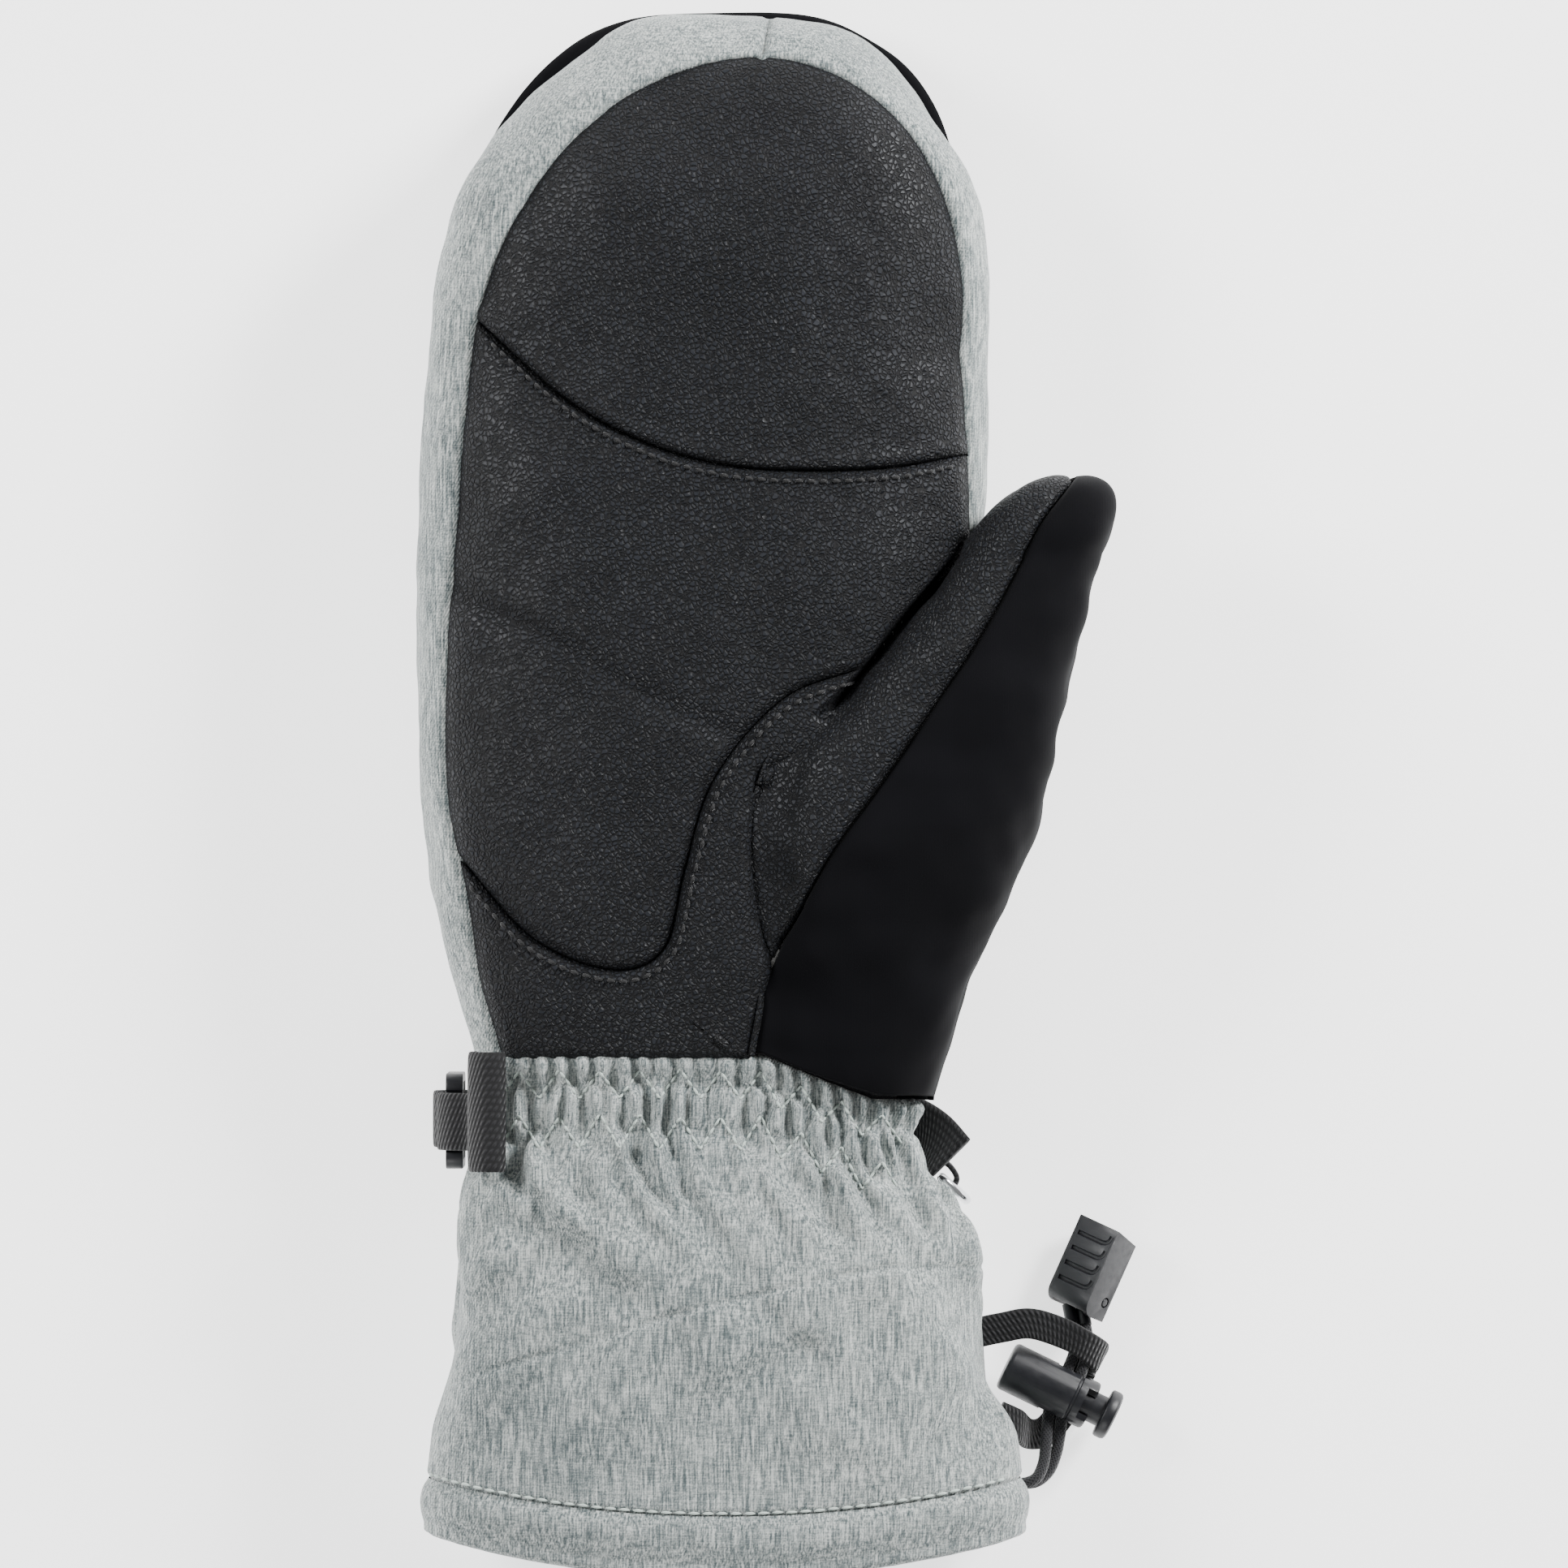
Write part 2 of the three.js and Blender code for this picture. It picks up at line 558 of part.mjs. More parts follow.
function buildLockLoop() {
  const rows = [
    [50.4, -114, 16, 0.1, 1, 0.1], [56, -113.2, 15.6, 0.1, 1, 0], [62, -113.8, 14.6, 0.2, 1, 0],
    [68, -116, 13, 0.4, 0.9, 0], [71.8, -118.6, 8.6, 0.1, 1, 0], [70.6, -120.4, 4, 0.5, 0.8, 0],
    [67.8, -122.8, 2.7, 0.9, -0.44, 0], [65.4, -127.6, 2.7, 0.9, -0.44, 0], [63, -132.6, 2.7, 0.9, -0.44, 0],
    [59.6, -136.4, 4, 0.6, -0.9, 0], [56, -136.8, 8, -0.1, -1, 0], [53.6, -134.6, 13.5, -0.1, -1, 0],
  ];
  addMesh('cord_lock_loop', webbing(rows, LOCK_LOOP_WIDTH, 34), WEBBING_BLACK);
}

// ---------- the drawcord strands and the clip on their ends ----------

// Hand-chosen routes: out of the hem, across the lock, into the clip.
const STRAND_ROUTES = {
  drawcord_strand_a: [
    [54.6, -147, 15.6], [57.4, -145.8, 15.2], [58.9, -143, 13.6], [59.5, -139.5, 11.5], [59.9, -135, 9.6],
    [60.4, -131, 9.2], [62.1, -127.5, 9.2], [64, -123.6, 9.2], [65.6, -119.4, 9], [65.6, -115.6, 7.8],
    [65, -112.4, 6.8],
  ],
  drawcord_strand_b: [
    [54.6, -147, 12.4], [57.6, -146.6, 11.8], [60.2, -144.4, 10.8], [61.8, -140.6, 9.6], [62.6, -136.4, 9.2],
    [63.1, -132.3, 9.2], [64.8, -128.6, 9.2], [66.6, -124.8, 9.2], [68.2, -120.4, 9], [68.3, -116.2, 7.8],
    [67.8, -113.2, 6.8],
  ],
};

const CLIP = {
  place: new THREE.Vector3(65.4, -110.6, 6.6), turn: -24, roll: -38, width: 11, length: 19, depth: 7.6,
  wall: 1.2, corner: 3, slope: 1.5, pinY: 4, pinZ: -1.9, pinRadius: 0.85, pinHole: 1.15,
};
const CLIP_RIBS = { count: 4, first: 5, pitch: 3.4, width: 0.6, depth: 0.5, margin: 1 };
const CLIP_INSERT = { end: 2.6, lip: 1.6, floor: 1.3, knuckle: 1.9, topGap: 0.8 };

function buildStrands() {
  for (const [name, route] of Object.entries(STRAND_ROUTES)) {
    const points = route.map((row) => new THREE.Vector3(...row));
    addMesh(name, tube(points, CORD_RADIUS, 18), CORD_BLACK);
  }
}

// A flat outline given a thickness along +Z, without bevels.
function plate(outline, thickness, curveSegments) {
  return new THREE.ExtrudeGeometry(outline, { depth: thickness, bevelEnabled: false, curveSegments });
}

// The clip's own frame: X across, Y along from the cord end, Z out of the ribbed face.
function buildClip() {
  const clip = new THREE.Group();
  clip.position.copy(CLIP.place);
  clip.rotation.order = 'ZYX';
  clip.rotation.set(0, THREE.MathUtils.degToRad(CLIP.roll), THREE.MathUtils.degToRad(CLIP.turn));
  model.add(clip);

  const halfWidth = CLIP.width / 2;
  const halfDepth = CLIP.depth / 2;
  const { corner } = CLIP;
  const outline = new THREE.Shape();
  outline.moveTo(0, -halfDepth);
  outline.lineTo(CLIP.length - CLIP.slope, -halfDepth);
  outline.lineTo(CLIP.length, halfDepth);
  outline.lineTo(corner, halfDepth);
  outline.absarc(corner, halfDepth - corner, corner, Math.PI / 2, Math.PI, false);
  const block = plate(outline, CLIP.width, 6);
  block.rotateX(Math.PI / 2);
  block.rotateZ(Math.PI / 2);
  block.translate(-halfWidth, 0, 0);
  const inside = box([-halfWidth + CLIP.wall, -1, -FAR], [halfWidth - CLIP.wall, FAR, halfDepth - CLIP.wall]);
  const atPin = (solid) => solid.translate([0, CLIP.pinY, CLIP.pinZ]);
  const pinHole = atPin(rod(-CLIP.width, CLIP.width, CLIP.pinHole, 16));
  let body = toSolid(block).subtract(inside).subtract(pinHole);
  const ribEnd = halfWidth - CLIP_RIBS.margin;
  for (let rib = 0; rib < CLIP_RIBS.count; rib += 1) {
    const y = CLIP_RIBS.first + rib * CLIP_RIBS.pitch;
    const top = halfDepth + CLIP_RIBS.depth;
    body = body.subtract(box([-ribEnd, y, halfDepth - CLIP_RIBS.depth], [ribEnd, y + CLIP_RIBS.width, top]));
  }
  addMesh('cord_clip_body', toGeometry(body), PLASTIC, clip);
  addMesh('cord_clip_pin', toGeometry(atPin(rod(-halfWidth, halfWidth, CLIP.pinRadius, 16))), PLASTIC, clip);

  const inner = halfWidth - CLIP.wall - SEAM_GAP;
  const insertEnd = CLIP.length - CLIP_INSERT.end;
  const lipTop = halfDepth - CLIP.wall - CLIP_INSERT.topGap;
  const insert = box([-inner, CLIP.pinY, -halfDepth], [inner, insertEnd, -halfDepth + CLIP_INSERT.floor])
    .add(atPin(rod(-inner, inner, CLIP_INSERT.knuckle, 16)))
    .add(box([-inner, insertEnd - CLIP_INSERT.lip, -halfDepth], [inner, insertEnd, lipTop]))
    .subtract(pinHole);
  addMesh('cord_clip_insert', toGeometry(insert), PLASTIC, clip);
}

// ---------- the wrist fittings ----------

const BUCKLE = {
  x: -64.6, thick: 3.6, y: -70.4, width: 20, low: 4.2, high: 28, side: 2, bar: 3.4, corner: 3, chamfer: 2,
  middleBar: 2.4,
};
const STRAP_WIDTH = 12;
const SIDE_LOOP_WIDTH = 25;

function buildBuckle() {
  const half = BUCKLE.width / 2;
  const { low, high, corner, chamfer } = BUCKLE;
  const frame = new THREE.Shape();
  frame.moveTo(-half, low + corner);
  frame.lineTo(-half, high - corner);
  frame.absarc(-half + corner, high - corner, corner, Math.PI, Math.PI / 2, true);
  frame.lineTo(half - corner, high);
  frame.absarc(half - corner, high - corner, corner, Math.PI / 2, 0, true);
  frame.lineTo(half, low + corner);
  frame.lineTo(half - chamfer, low);
  frame.lineTo(-half + chamfer, low);
  const middle = (low + high) / 2;
  const halfBar = BUCKLE.middleBar / 2;
  const inner = half - BUCKLE.side;
  for (const [from, to] of [[low + BUCKLE.bar, middle - halfBar], [middle + halfBar, high - BUCKLE.bar]]) {
    const slot = new THREE.Path();
    slot.moveTo(-inner, from);
    slot.lineTo(inner, from);
    slot.lineTo(inner, to);
    slot.lineTo(-inner, to);
    frame.holes.push(slot);
  }
  const geometry = plate(frame, BUCKLE.thick, 5);
  geometry.rotateX(Math.PI / 2);
  geometry.rotateZ(Math.PI / 2);
  geometry.translate(BUCKLE.x - BUCKLE.thick / 2, BUCKLE.y, 0);
  addMesh('buckle', geometry, PLASTIC);
}

function buildWristWebbing() {
  const bar = BUCKLE.x;
  const top = BUCKLE.high - BUCKLE.bar / 2;
  const foot = BUCKLE.low + BUCKLE.bar / 2;
  const flat = [0, 1, 0];
  const y = BUCKLE.y;
  // A tab sewn to the cuff's side, round the buckle's upper bar
  const tab = [
    [-60.2, y, 34.5], [-62, y, 32.4], [bar - 1.4, y, top + 5], [bar - 4.6, y, top + 0.6],
    [bar - 3.6, y, top - 3.9], [bar, y, top - 5], [bar + 2.9, y, top - 2], [-60.6, y, 28.2],
  ];
  addMesh('buckle_tab', webbing(tab.map((row) => [...row, ...flat]), STRAP_WIDTH, 24), WEBBING_BLACK);
  // The strap: sewn round the lower bar, then under the wrist to its free tail
  const strap = [
    [-52, y, 9], [-58, y, 10.4], [bar + 0.6, y, foot + 5], [bar - 3.6, y, foot + 3.6],
    [bar - 4.2, y, foot - 1.6], [bar, y, foot - 4.4], [-58, y, 3.6], [-46, y, 5.6], [-12, y, 6.6],
    [16, y, 6.6], [26, y - 0.4, 7], [32, y - 1.4, 9.6],
  ];
  const tail = [[36, y - 4, 14, 0.3, 1, 0], [39.2, y - 8, 18.6, 0.6, 0.8, 0]];
  const strapRows = [...strap.map((row) => [...row, ...flat]), ...tail];
  addMesh('wrist_strap', webbing(strapRows, STRAP_WIDTH, 44), WEBBING_BLACK);
  // A wide loop folded over the little-finger edge of the wrist
  const loop = [
    [-51, -68, 44.6], [-54.4, -68, 45.4], [-57.4, -68, 45.2], [-60.4, -68, 42.6], [-61, -68, 39.6],
    [-59.9, -68, 37.8],
  ];
  addMesh('side_loop', webbing(loop.map((row) => [...row, ...flat]), SIDE_LOOP_WIDTH, 20), WEBBING_BLACK);
}

// A D-ring in a short tab under the thumb side of the wrist
const RING = { x: 38.4, y: -83.4, z: 8.4, wire: 2, inner: 5, turn: -42, tabWidth: 8 };

function buildRing() {
  const outline = new THREE.Shape();
  const outer = RING.inner + RING.wire;
  outline.absarc(0, 0, outer, -Math.PI / 2, Math.PI / 2, false);
  outline.lineTo(-RING.wire, outer);
  outline.lineTo(-RING.wire, -outer);
  const hole = new THREE.Path();
  hole.absarc(0, 0, RING.inner, -Math.PI / 2, Math.PI / 2, false);
  outline.holes.push(hole);
  const geometry = plate(outline, RING.wire, 12);
  geometry.translate(0, 0, -RING.wire / 2);
  geometry.rotateX(Math.PI / 2);
  const ring = addMesh('d_ring', geometry, STEEL);
  ring.position.set(RING.x, RING.y, RING.z);
  ring.rotation.z = THREE.MathUtils.degToRad(RING.turn);
  // The tab holds the ring's straight side
  const rows = [
    [-5.4, 2.2], [-3.4, 2.7], [-1, 2.9], [1.6, 1.8], [1.8, -1.6], [-1, -2.9], [-3.4, -2.7], [-5.4, -2.2],
  ];
  const upright = rows.map(([x, side]) => [x, side, 0, 0, 0, 1]);
  const tab = addMesh('d_ring_tab', webbing(upright, RING.tabWidth, 24), WEBBING_BLACK);
  tab.position.copy(ring.position);
  tab.rotation.copy(ring.rotation);
}

buildHand();
buildThumb();
buildCuff();
buildHemCord();
buildCordLock();
buildLockLoop();
buildStrands();
buildClip();
buildBuckle();
buildWristWebbing();
buildRing();

export default model;
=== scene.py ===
"""A padded ski mitten for the right hand, palm up, on a pale floor."""
import math
import random

import bmesh
import bpy
import numpy as np
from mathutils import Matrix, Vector, kdtree, noise
from mathutils.bvhtree import BVHTree


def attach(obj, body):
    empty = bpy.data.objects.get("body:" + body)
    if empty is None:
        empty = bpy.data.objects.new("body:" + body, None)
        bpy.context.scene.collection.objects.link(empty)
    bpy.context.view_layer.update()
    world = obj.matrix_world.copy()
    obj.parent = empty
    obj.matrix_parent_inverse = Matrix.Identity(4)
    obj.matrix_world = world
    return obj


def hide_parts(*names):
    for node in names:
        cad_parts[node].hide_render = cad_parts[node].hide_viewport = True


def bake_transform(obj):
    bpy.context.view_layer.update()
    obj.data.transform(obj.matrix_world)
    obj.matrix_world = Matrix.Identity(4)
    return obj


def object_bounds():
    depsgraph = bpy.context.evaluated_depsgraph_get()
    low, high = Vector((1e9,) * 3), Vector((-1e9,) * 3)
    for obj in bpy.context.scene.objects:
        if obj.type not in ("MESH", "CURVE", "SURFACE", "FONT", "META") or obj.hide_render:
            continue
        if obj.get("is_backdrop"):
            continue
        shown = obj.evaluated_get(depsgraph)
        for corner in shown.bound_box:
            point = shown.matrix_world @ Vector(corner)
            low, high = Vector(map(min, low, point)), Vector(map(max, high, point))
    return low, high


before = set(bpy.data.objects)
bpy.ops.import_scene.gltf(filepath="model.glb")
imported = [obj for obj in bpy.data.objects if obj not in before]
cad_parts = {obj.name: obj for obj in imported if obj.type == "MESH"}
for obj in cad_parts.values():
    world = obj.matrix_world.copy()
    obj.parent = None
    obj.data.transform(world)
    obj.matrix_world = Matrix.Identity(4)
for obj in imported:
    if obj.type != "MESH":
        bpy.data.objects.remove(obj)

CAD_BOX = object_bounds()
random.seed(7)

# Shapes are drawn in millimetres, with x = 0 between the hand and the thumb, as in the part's source.
MM = 0.001
PIECE = "_piece"                 # ends the name of every piece made here, so that none has a CAD node's name
ORIGIN_SHIFT = -2.7
SECTION_POWER = 2.6
FABRIC = 1.2
HAND = "hand"
THUMB = "thumb"
CURVE_STEPS = 24                 # between two points of a smooth line
FLOOR_CLEARANCE = 0.05
NARROW = 1e-6


# ---------- camera, floor and light ----------

FRAME_WIDTH = 328.4
FRAME_CENTRE = (4.4, 0.2)
CAMERA_HEIGHT = 2600
SHARPEST_HEIGHT = 25             # the frame's width holds at this height
FLOOR_GLOW = 1.7                 # the paper floor is lit from behind, so that it stays white
FLOOR_HALF = 4
WORLD_GLOW = 0.3
SENSOR = 36
# Each light's name, its place and size in metres, and its power
LIGHTS = (
    ("key_light", (1.0, 0.75, 0.7), 0.4, 40),
    ("fill_light", (-1.1, 0.5, 0.9), 0.5, 22),
    ("low_light", (-0.3, -1.1, 0.7), 0.6, 5),
)


def build_stage():
    camera = bpy.data.cameras.new("camera")
    camera.sensor_width = SENSOR
    camera.lens = SENSOR * (CAMERA_HEIGHT - SHARPEST_HEIGHT) / FRAME_WIDTH
    camera.clip_end = 10
    holder = bpy.data.objects.new("camera", camera)
    x, y = FRAME_CENTRE
    holder.location = ((x + ORIGIN_SHIFT) * MM, y * MM, CAMERA_HEIGHT * MM)
    bpy.context.scene.collection.objects.link(holder)
    bpy.context.scene.camera = holder

    world = bpy.data.worlds.new("studio")
    world.use_nodes = True
    background = world.node_tree.nodes["Background"]
    background.inputs["Color"].default_value = (1, 1, 1, 1)
    background.inputs["Strength"].default_value = WORLD_GLOW
    bpy.context.scene.world = world

    corners = [(x * FLOOR_HALF, y * FLOOR_HALF, 0) for x, y in ((-1, -1), (1, -1), (1, 1), (-1, 1))]
    floor = mesh_object("floor", corners, [(0, 1, 2, 3)], scale=1)
    floor.data.materials.append(plain_material("floor_paper", (0.985, 0.985, 0.985), 0.95, FLOOR_GLOW))
    floor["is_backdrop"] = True
    for name, place, size, power in LIGHTS:
        add_light(name, place, size, power)


def add_light(name, place, size, power):
    light = bpy.data.lights.new(name, "AREA")
    light.size = size
    light.energy = power
    holder = bpy.data.objects.new(name, light)
    holder.location = place
    holder.rotation_euler = (-Vector(place)).to_track_quat("-Z", "Y").to_euler()
    bpy.context.scene.collection.objects.link(holder)


# ---------- small mesh helpers ----------

def mesh_object(name, points, faces, scale=MM, uvs=None):
    """A new mesh object. Points are in drawn millimetres, or in metres with scale=1."""
    mesh = bpy.data.meshes.new(name)
    if scale == MM:
        points = [((x + ORIGIN_SHIFT) * MM, y * MM, z * MM) for x, y, z in points]
    mesh.from_pydata([tuple(map(float, p)) for p in points], [], [tuple(map(int, f)) for f in faces])
    if uvs is not None:
        layer = mesh.uv_layers.new(name="uv")
        for loop in mesh.loops:
            layer.data[loop.index].uv = uvs[loop.vertex_index]
    mesh.update()
    mesh.shade_smooth()
    thing = bpy.data.objects.new(name + PIECE, mesh)
    bpy.context.scene.collection.objects.link(thing)
    return thing


def grid_piece(name, grid, wrap=False):
    """A mesh over a grid of points, closed from its last column to its first if it wraps."""
    rows, columns = grid.shape[:2]
    return mesh_object(name, grid.reshape(-1, 3), grid_faces(rows, columns, wrap))


def apply_modifiers(thing):
    bpy.context.view_layer.update()
    shape = thing.evaluated_get(bpy.context.evaluated_depsgraph_get())
    mesh = bpy.data.meshes.new_from_object(shape)
    thing.modifiers.clear()
    old = thing.data
    thing.data = mesh
    bpy.data.meshes.remove(old)
    return thing


def thicken(thing, thickness, offset=-1.0):
    """Gives a sheet its thickness on the inner side."""
    shell = thing.modifiers.new("thickness", "SOLIDIFY")
    shell.thickness = thickness * MM
    shell.offset = offset
    shell.use_even_offset = False
    return apply_modifiers(thing)


def grid_faces(rows, columns, wrap=False):
    """Faces over a grid of points stored row by row."""
    faces = []
    across = columns if wrap else columns - 1
    for row in range(rows - 1):
        for column in range(across):
            near = (column + 1) % columns
            a = row * columns
            b = a + columns
            faces.append((a + column, a + near, b + near, b + column))
    return faces


def closed_tube_faces(steps, corners):
    """Faces of a tube whose first and last corners are in one place, with its ends closed."""
    faces = grid_faces(steps, corners)
    faces.append(tuple(reversed(range(corners))))
    faces.append(tuple(range((steps - 1) * corners, steps * corners)))
    return faces


def round_corners(count):
    """Angles spaced evenly round a full turn."""
    return np.linspace(0, 2 * math.pi, count, endpoint=False)


def arc(centre, radius, start, end, count):
    """Points on an arc; the angles are in quarter turns."""
    turns = np.linspace(start * math.pi / 2, end * math.pi / 2, count)
    return [(centre[0] + radius * math.cos(turn), centre[1] + radius * math.sin(turn)) for turn in turns]


def smoothstep(value, low, high):
    t = np.clip((value - low) / (high - low), 0, 1)
    return t * t * (3 - 2 * t)


def soft_noise(points, scale, seed=0.0):
    """Smooth noise from -1 to 1, for points in millimetres; scale is the size of its lumps."""
    return np.array([noise.noise(Vector((x / scale + seed, y / scale, z / scale))) for x, y, z in points])


def grid_noise(grid, scale, seed, stretch=(1, 1, 1)):
    """Smooth noise at every point of a grid; stretch makes the lumps longer or shorter along an axis."""
    return soft_noise((grid / np.array(stretch)).reshape(-1, 3), scale, seed).reshape(grid.shape[:2])


def curve_through(points, samples):
    """A smooth line through points of any dimension, evenly spaced (Catmull-Rom)."""
    points = [np.array(p, float) for p in points]
    padded = [2 * points[0] - points[1], *points, 2 * points[-1] - points[-2]]
    dense = []
    for a, b, c, d in zip(padded, padded[1:], padded[2:], padded[3:]):
        for t in np.linspace(0, 1, CURVE_STEPS, endpoint=False):
            dense.append(0.5 * (2 * b + (c - a) * t + (2 * a - 5 * b + 4 * c - d) * t * t
                                + (3 * b - a - 3 * c + d) * t ** 3))
    dense.append(points[-1])
    return resample(np.array(dense), samples)


def lengths_along(line):
    """The distance from a line's start to each of its points."""
    return np.concatenate([[0], np.cumsum(np.linalg.norm(np.diff(line, axis=0), axis=1))])


def resample(line, samples):
    along = lengths_along(line)
    wanted = np.linspace(0, along[-1], samples)
    return np.stack([np.interp(wanted, along, line[:, axis]) for axis in range(line.shape[1])], axis=1)


def distance_to(points, line):
    """The distance from each point to the nearest point of a dense line."""
    tree = kdtree.KDTree(len(line))
    for number, point in enumerate(line):
        tree.insert(Vector(point), number)
    tree.balance()
    return np.array([tree.find(Vector(point))[2] for point in points])


# ---------- materials ----------

class Nodes:
    """Short names for building a procedural material."""

    def __init__(self, name, roughness, **settings):
        self.material = bpy.data.materials.new(name)
        self.material.use_nodes = True
        self.tree = self.material.node_tree
        self.shader = self.tree.nodes["Principled BSDF"]
        self.shader.inputs["Roughness"].default_value = roughness
        for key, value in settings.items():
            self.shader.inputs[key.replace("_", " ")].default_value = value

    def node(self, kind, inputs=(), **values):
        made = self.tree.nodes.new(kind)
        for key, value in values.items():
            setattr(made, key, value)
        for key, value in dict(inputs).items():
            if isinstance(value, bpy.types.NodeSocket):
                self.tree.links.new(value, made.inputs[key])
            else:
                made.inputs[key].default_value = value
        return made

    def place(self, scale, rotation=(0, 0, 0), uv=False):
        coordinates = self.node("ShaderNodeTexCoord")
        source = coordinates.outputs["UV" if uv else "Object"]
        inputs = {"Vector": source, "Scale": scale, "Rotation": rotation}
        return self.node("ShaderNodeMapping", inputs).outputs[0]

    def noise(self, scale, place=None, detail=3.0, roughness=0.55):
        inputs = {"Scale": scale, "Detail": detail, "Roughness": roughness}
        if place is not None:
            inputs["Vector"] = place
        return self.node("ShaderNodeTexNoise", inputs).outputs["Fac"]

    def bands(self, scale, axis="X", turn=0.0, uv=False, **more):
        """Straight light and dark bands, turned by an angle in degrees."""
        place = self.place((1, 1, 1), (0, 0, math.radians(turn)), uv=uv)
        inputs = {"Vector": place, "Scale": scale, **more}
        return self.node("ShaderNodeTexWave", inputs, wave_type="BANDS", bands_direction=axis).outputs["Fac"]

    def mottle(self, scale, detail, low, high, place=None, ends=(0.3, 0.75)):
        """A colour that drifts softly between two."""
        return self.ramp(self.noise(scale, place, detail), list(zip(ends, (low, high))))

    def ramp(self, factor, stops):
        made = self.node("ShaderNodeValToRGB", {"Fac": factor})
        elements = made.color_ramp.elements
        while len(elements) < len(stops):
            elements.new(0.5)
        for element, (position, colour) in zip(elements, stops):
            element.position = position
            element.color = (*colour, 1) if len(colour) == 3 else colour
        return made.outputs["Color"]

    def maths(self, operation, a, b=0.0):
        return self.node("ShaderNodeMath", {0: a, 1: b}, operation=operation).outputs[0]

    def mix(self, factor, a, b, blend="MIX"):
        made = self.node("ShaderNodeMix", data_type="RGBA", blend_type=blend)
        for index, value in ((0, factor), (6, a), (7, b)):
            if isinstance(value, bpy.types.NodeSocket):
                self.tree.links.new(value, made.inputs[index])
            else:
                made.inputs[index].default_value = value
        return made.outputs[2]

    def bump(self, height, distance, strength=1.0, normal=None):
        inputs = {"Height": height, "Distance": distance, "Strength": strength}
        if normal is not None:
            inputs["Normal"] = normal
        return self.node("ShaderNodeBump", inputs).outputs[0]

    def use(self, colour=None, roughness=None, normal=None):
        for key, value in (("Base Color", colour), ("Roughness", roughness), ("Normal", normal)):
            if value is not None:
                self.tree.links.new(value, self.shader.inputs[key])
        return self.material


def grey(value):
    return (value, value, value)


def plain_material(name, colour, roughness, glow):
    made = Nodes(name, roughness, Emission_Color=(1, 1, 1, 1), Emission_Strength=glow)
    tint = made.ramp(made.noise(3.0), [(0.0, colour), (1.0, tuple(min(1, c * 1.01) for c in colour))])
    return made.use(tint)


def leather_material():
    """Grained synthetic leather: raised worm-like pebbles about 1 mm across, with painted shade darkening
    the grooves.
    """
    made = Nodes("palm_leather", 0.5, Specular_IOR_Level=0.27)
    place = made.place((1, 1, 1))
    warp = made.noise(900, place, 1.0)
    drift = made.node("ShaderNodeTexNoise", {"Vector": place, "Scale": 520.0, "Detail": 1.0})
    drift = drift.outputs["Color"]
    small_drift = made.node("ShaderNodeVectorMath", {0: drift, 3: 0.0011}, operation="SCALE").outputs[0]
    bent = made.node("ShaderNodeVectorMath", {0: place, 1: small_drift}, operation="ADD").outputs[0]
    cells = made.node("ShaderNodeTexVoronoi", {"Vector": bent, "Scale": 980.0}, feature="DISTANCE_TO_EDGE")
    pebble = made.ramp(cells.outputs["Distance"], [(0.03, grey(0)), (0.24, grey(1))])
    # Painted shade: the grooves between the pebbles get a near-black colour, as if in shadow; the pebble
    # tops keep the leather's own colour.
    groove_painted_shade = made.mottle(38, 3.0, (0.0008, 0.0008, 0.0012), (0.0015, 0.0015, 0.0022), place,
                                (0.3, 0.7))
    top_colour = made.mottle(45, 4.0, (0.0085, 0.0098, 0.013), (0.0165, 0.0185, 0.0235), place)
    colour = made.mix(pebble, groove_painted_shade, top_colour)
    rough = made.ramp(made.maths("MULTIPLY", warp, pebble), [(0.1, grey(0.66)), (0.6, grey(0.46))])
    fine = made.bump(made.noise(5200, place, 2.0), 0.00003, 0.35)
    coarse = made.bump(pebble, 0.0004, 1.0, fine)
    return made.use(colour, rough, coarse)


def twill_material():
    """Heather grey twill: pale and dark yarns in long vertical slubs, with fine slanted ribs."""
    made = Nodes("grey_twill", 0.9, Sheen_Weight=0.25, Sheen_Roughness=0.5, Specular_IOR_Level=0.2)
    place = made.place((1, 1, 1))
    slub = made.noise(1.0, made.place((2500, 150, 2500)), 2.5, 0.6)
    weft = made.noise(1.0, made.place((260, 2900, 1200)), 2.0, 0.6)
    speck = made.noise(2600, place, 1.0)
    patch = made.noise(26, place, 3.0)
    yarn = made.maths("ADD", made.maths("MULTIPLY", slub, 0.62), made.maths("MULTIPLY", weft, 0.22))
    yarn = made.maths("ADD", yarn, made.maths("MULTIPLY", speck, 0.22))
    yarn = made.maths("ADD", yarn, made.maths("MULTIPLY", made.maths("SUBTRACT", patch, 0.5), 0.12))
    colour = made.ramp(yarn, [(0.38, (0.058, 0.076, 0.080)), (0.47, (0.135, 0.160, 0.162)),
                              (0.55, (0.280, 0.306, 0.300)), (0.66, (0.56, 0.585, 0.565))])
    ribs = made.bands(560.0, turn=28, Distortion=1.6, Detail=1.0, **{"Detail Scale": 2.0})
    colour = made.mix(made.maths("MULTIPLY", ribs, 0.3), colour, (0.8, 0.82, 0.8, 1), "SOFT_LIGHT")
    normal = made.bump(made.maths("ADD", ribs, made.maths("MULTIPLY", speck, 1.2)), 0.00012, 0.6)
    return made.use(colour, None, normal)


def softshell_material():
    """Smooth black softshell, with a very fine knit."""
    made = Nodes("softshell", 0.9, Sheen_Weight=0.03, Sheen_Roughness=0.4, Specular_IOR_Level=0.12)
    place = made.place((1, 1, 1))
    colour = made.mottle(45, 3.0, (0.0012, 0.0012, 0.002), (0.0024, 0.0024, 0.0036), place)
    knit = made.bands(900.0, Distortion=0.6, Detail=1.0)
    weave = made.maths("ADD", knit, made.noise(3800, place, 1.0))
    return made.use(colour, None, made.bump(weave, 0.00003, 0.35))


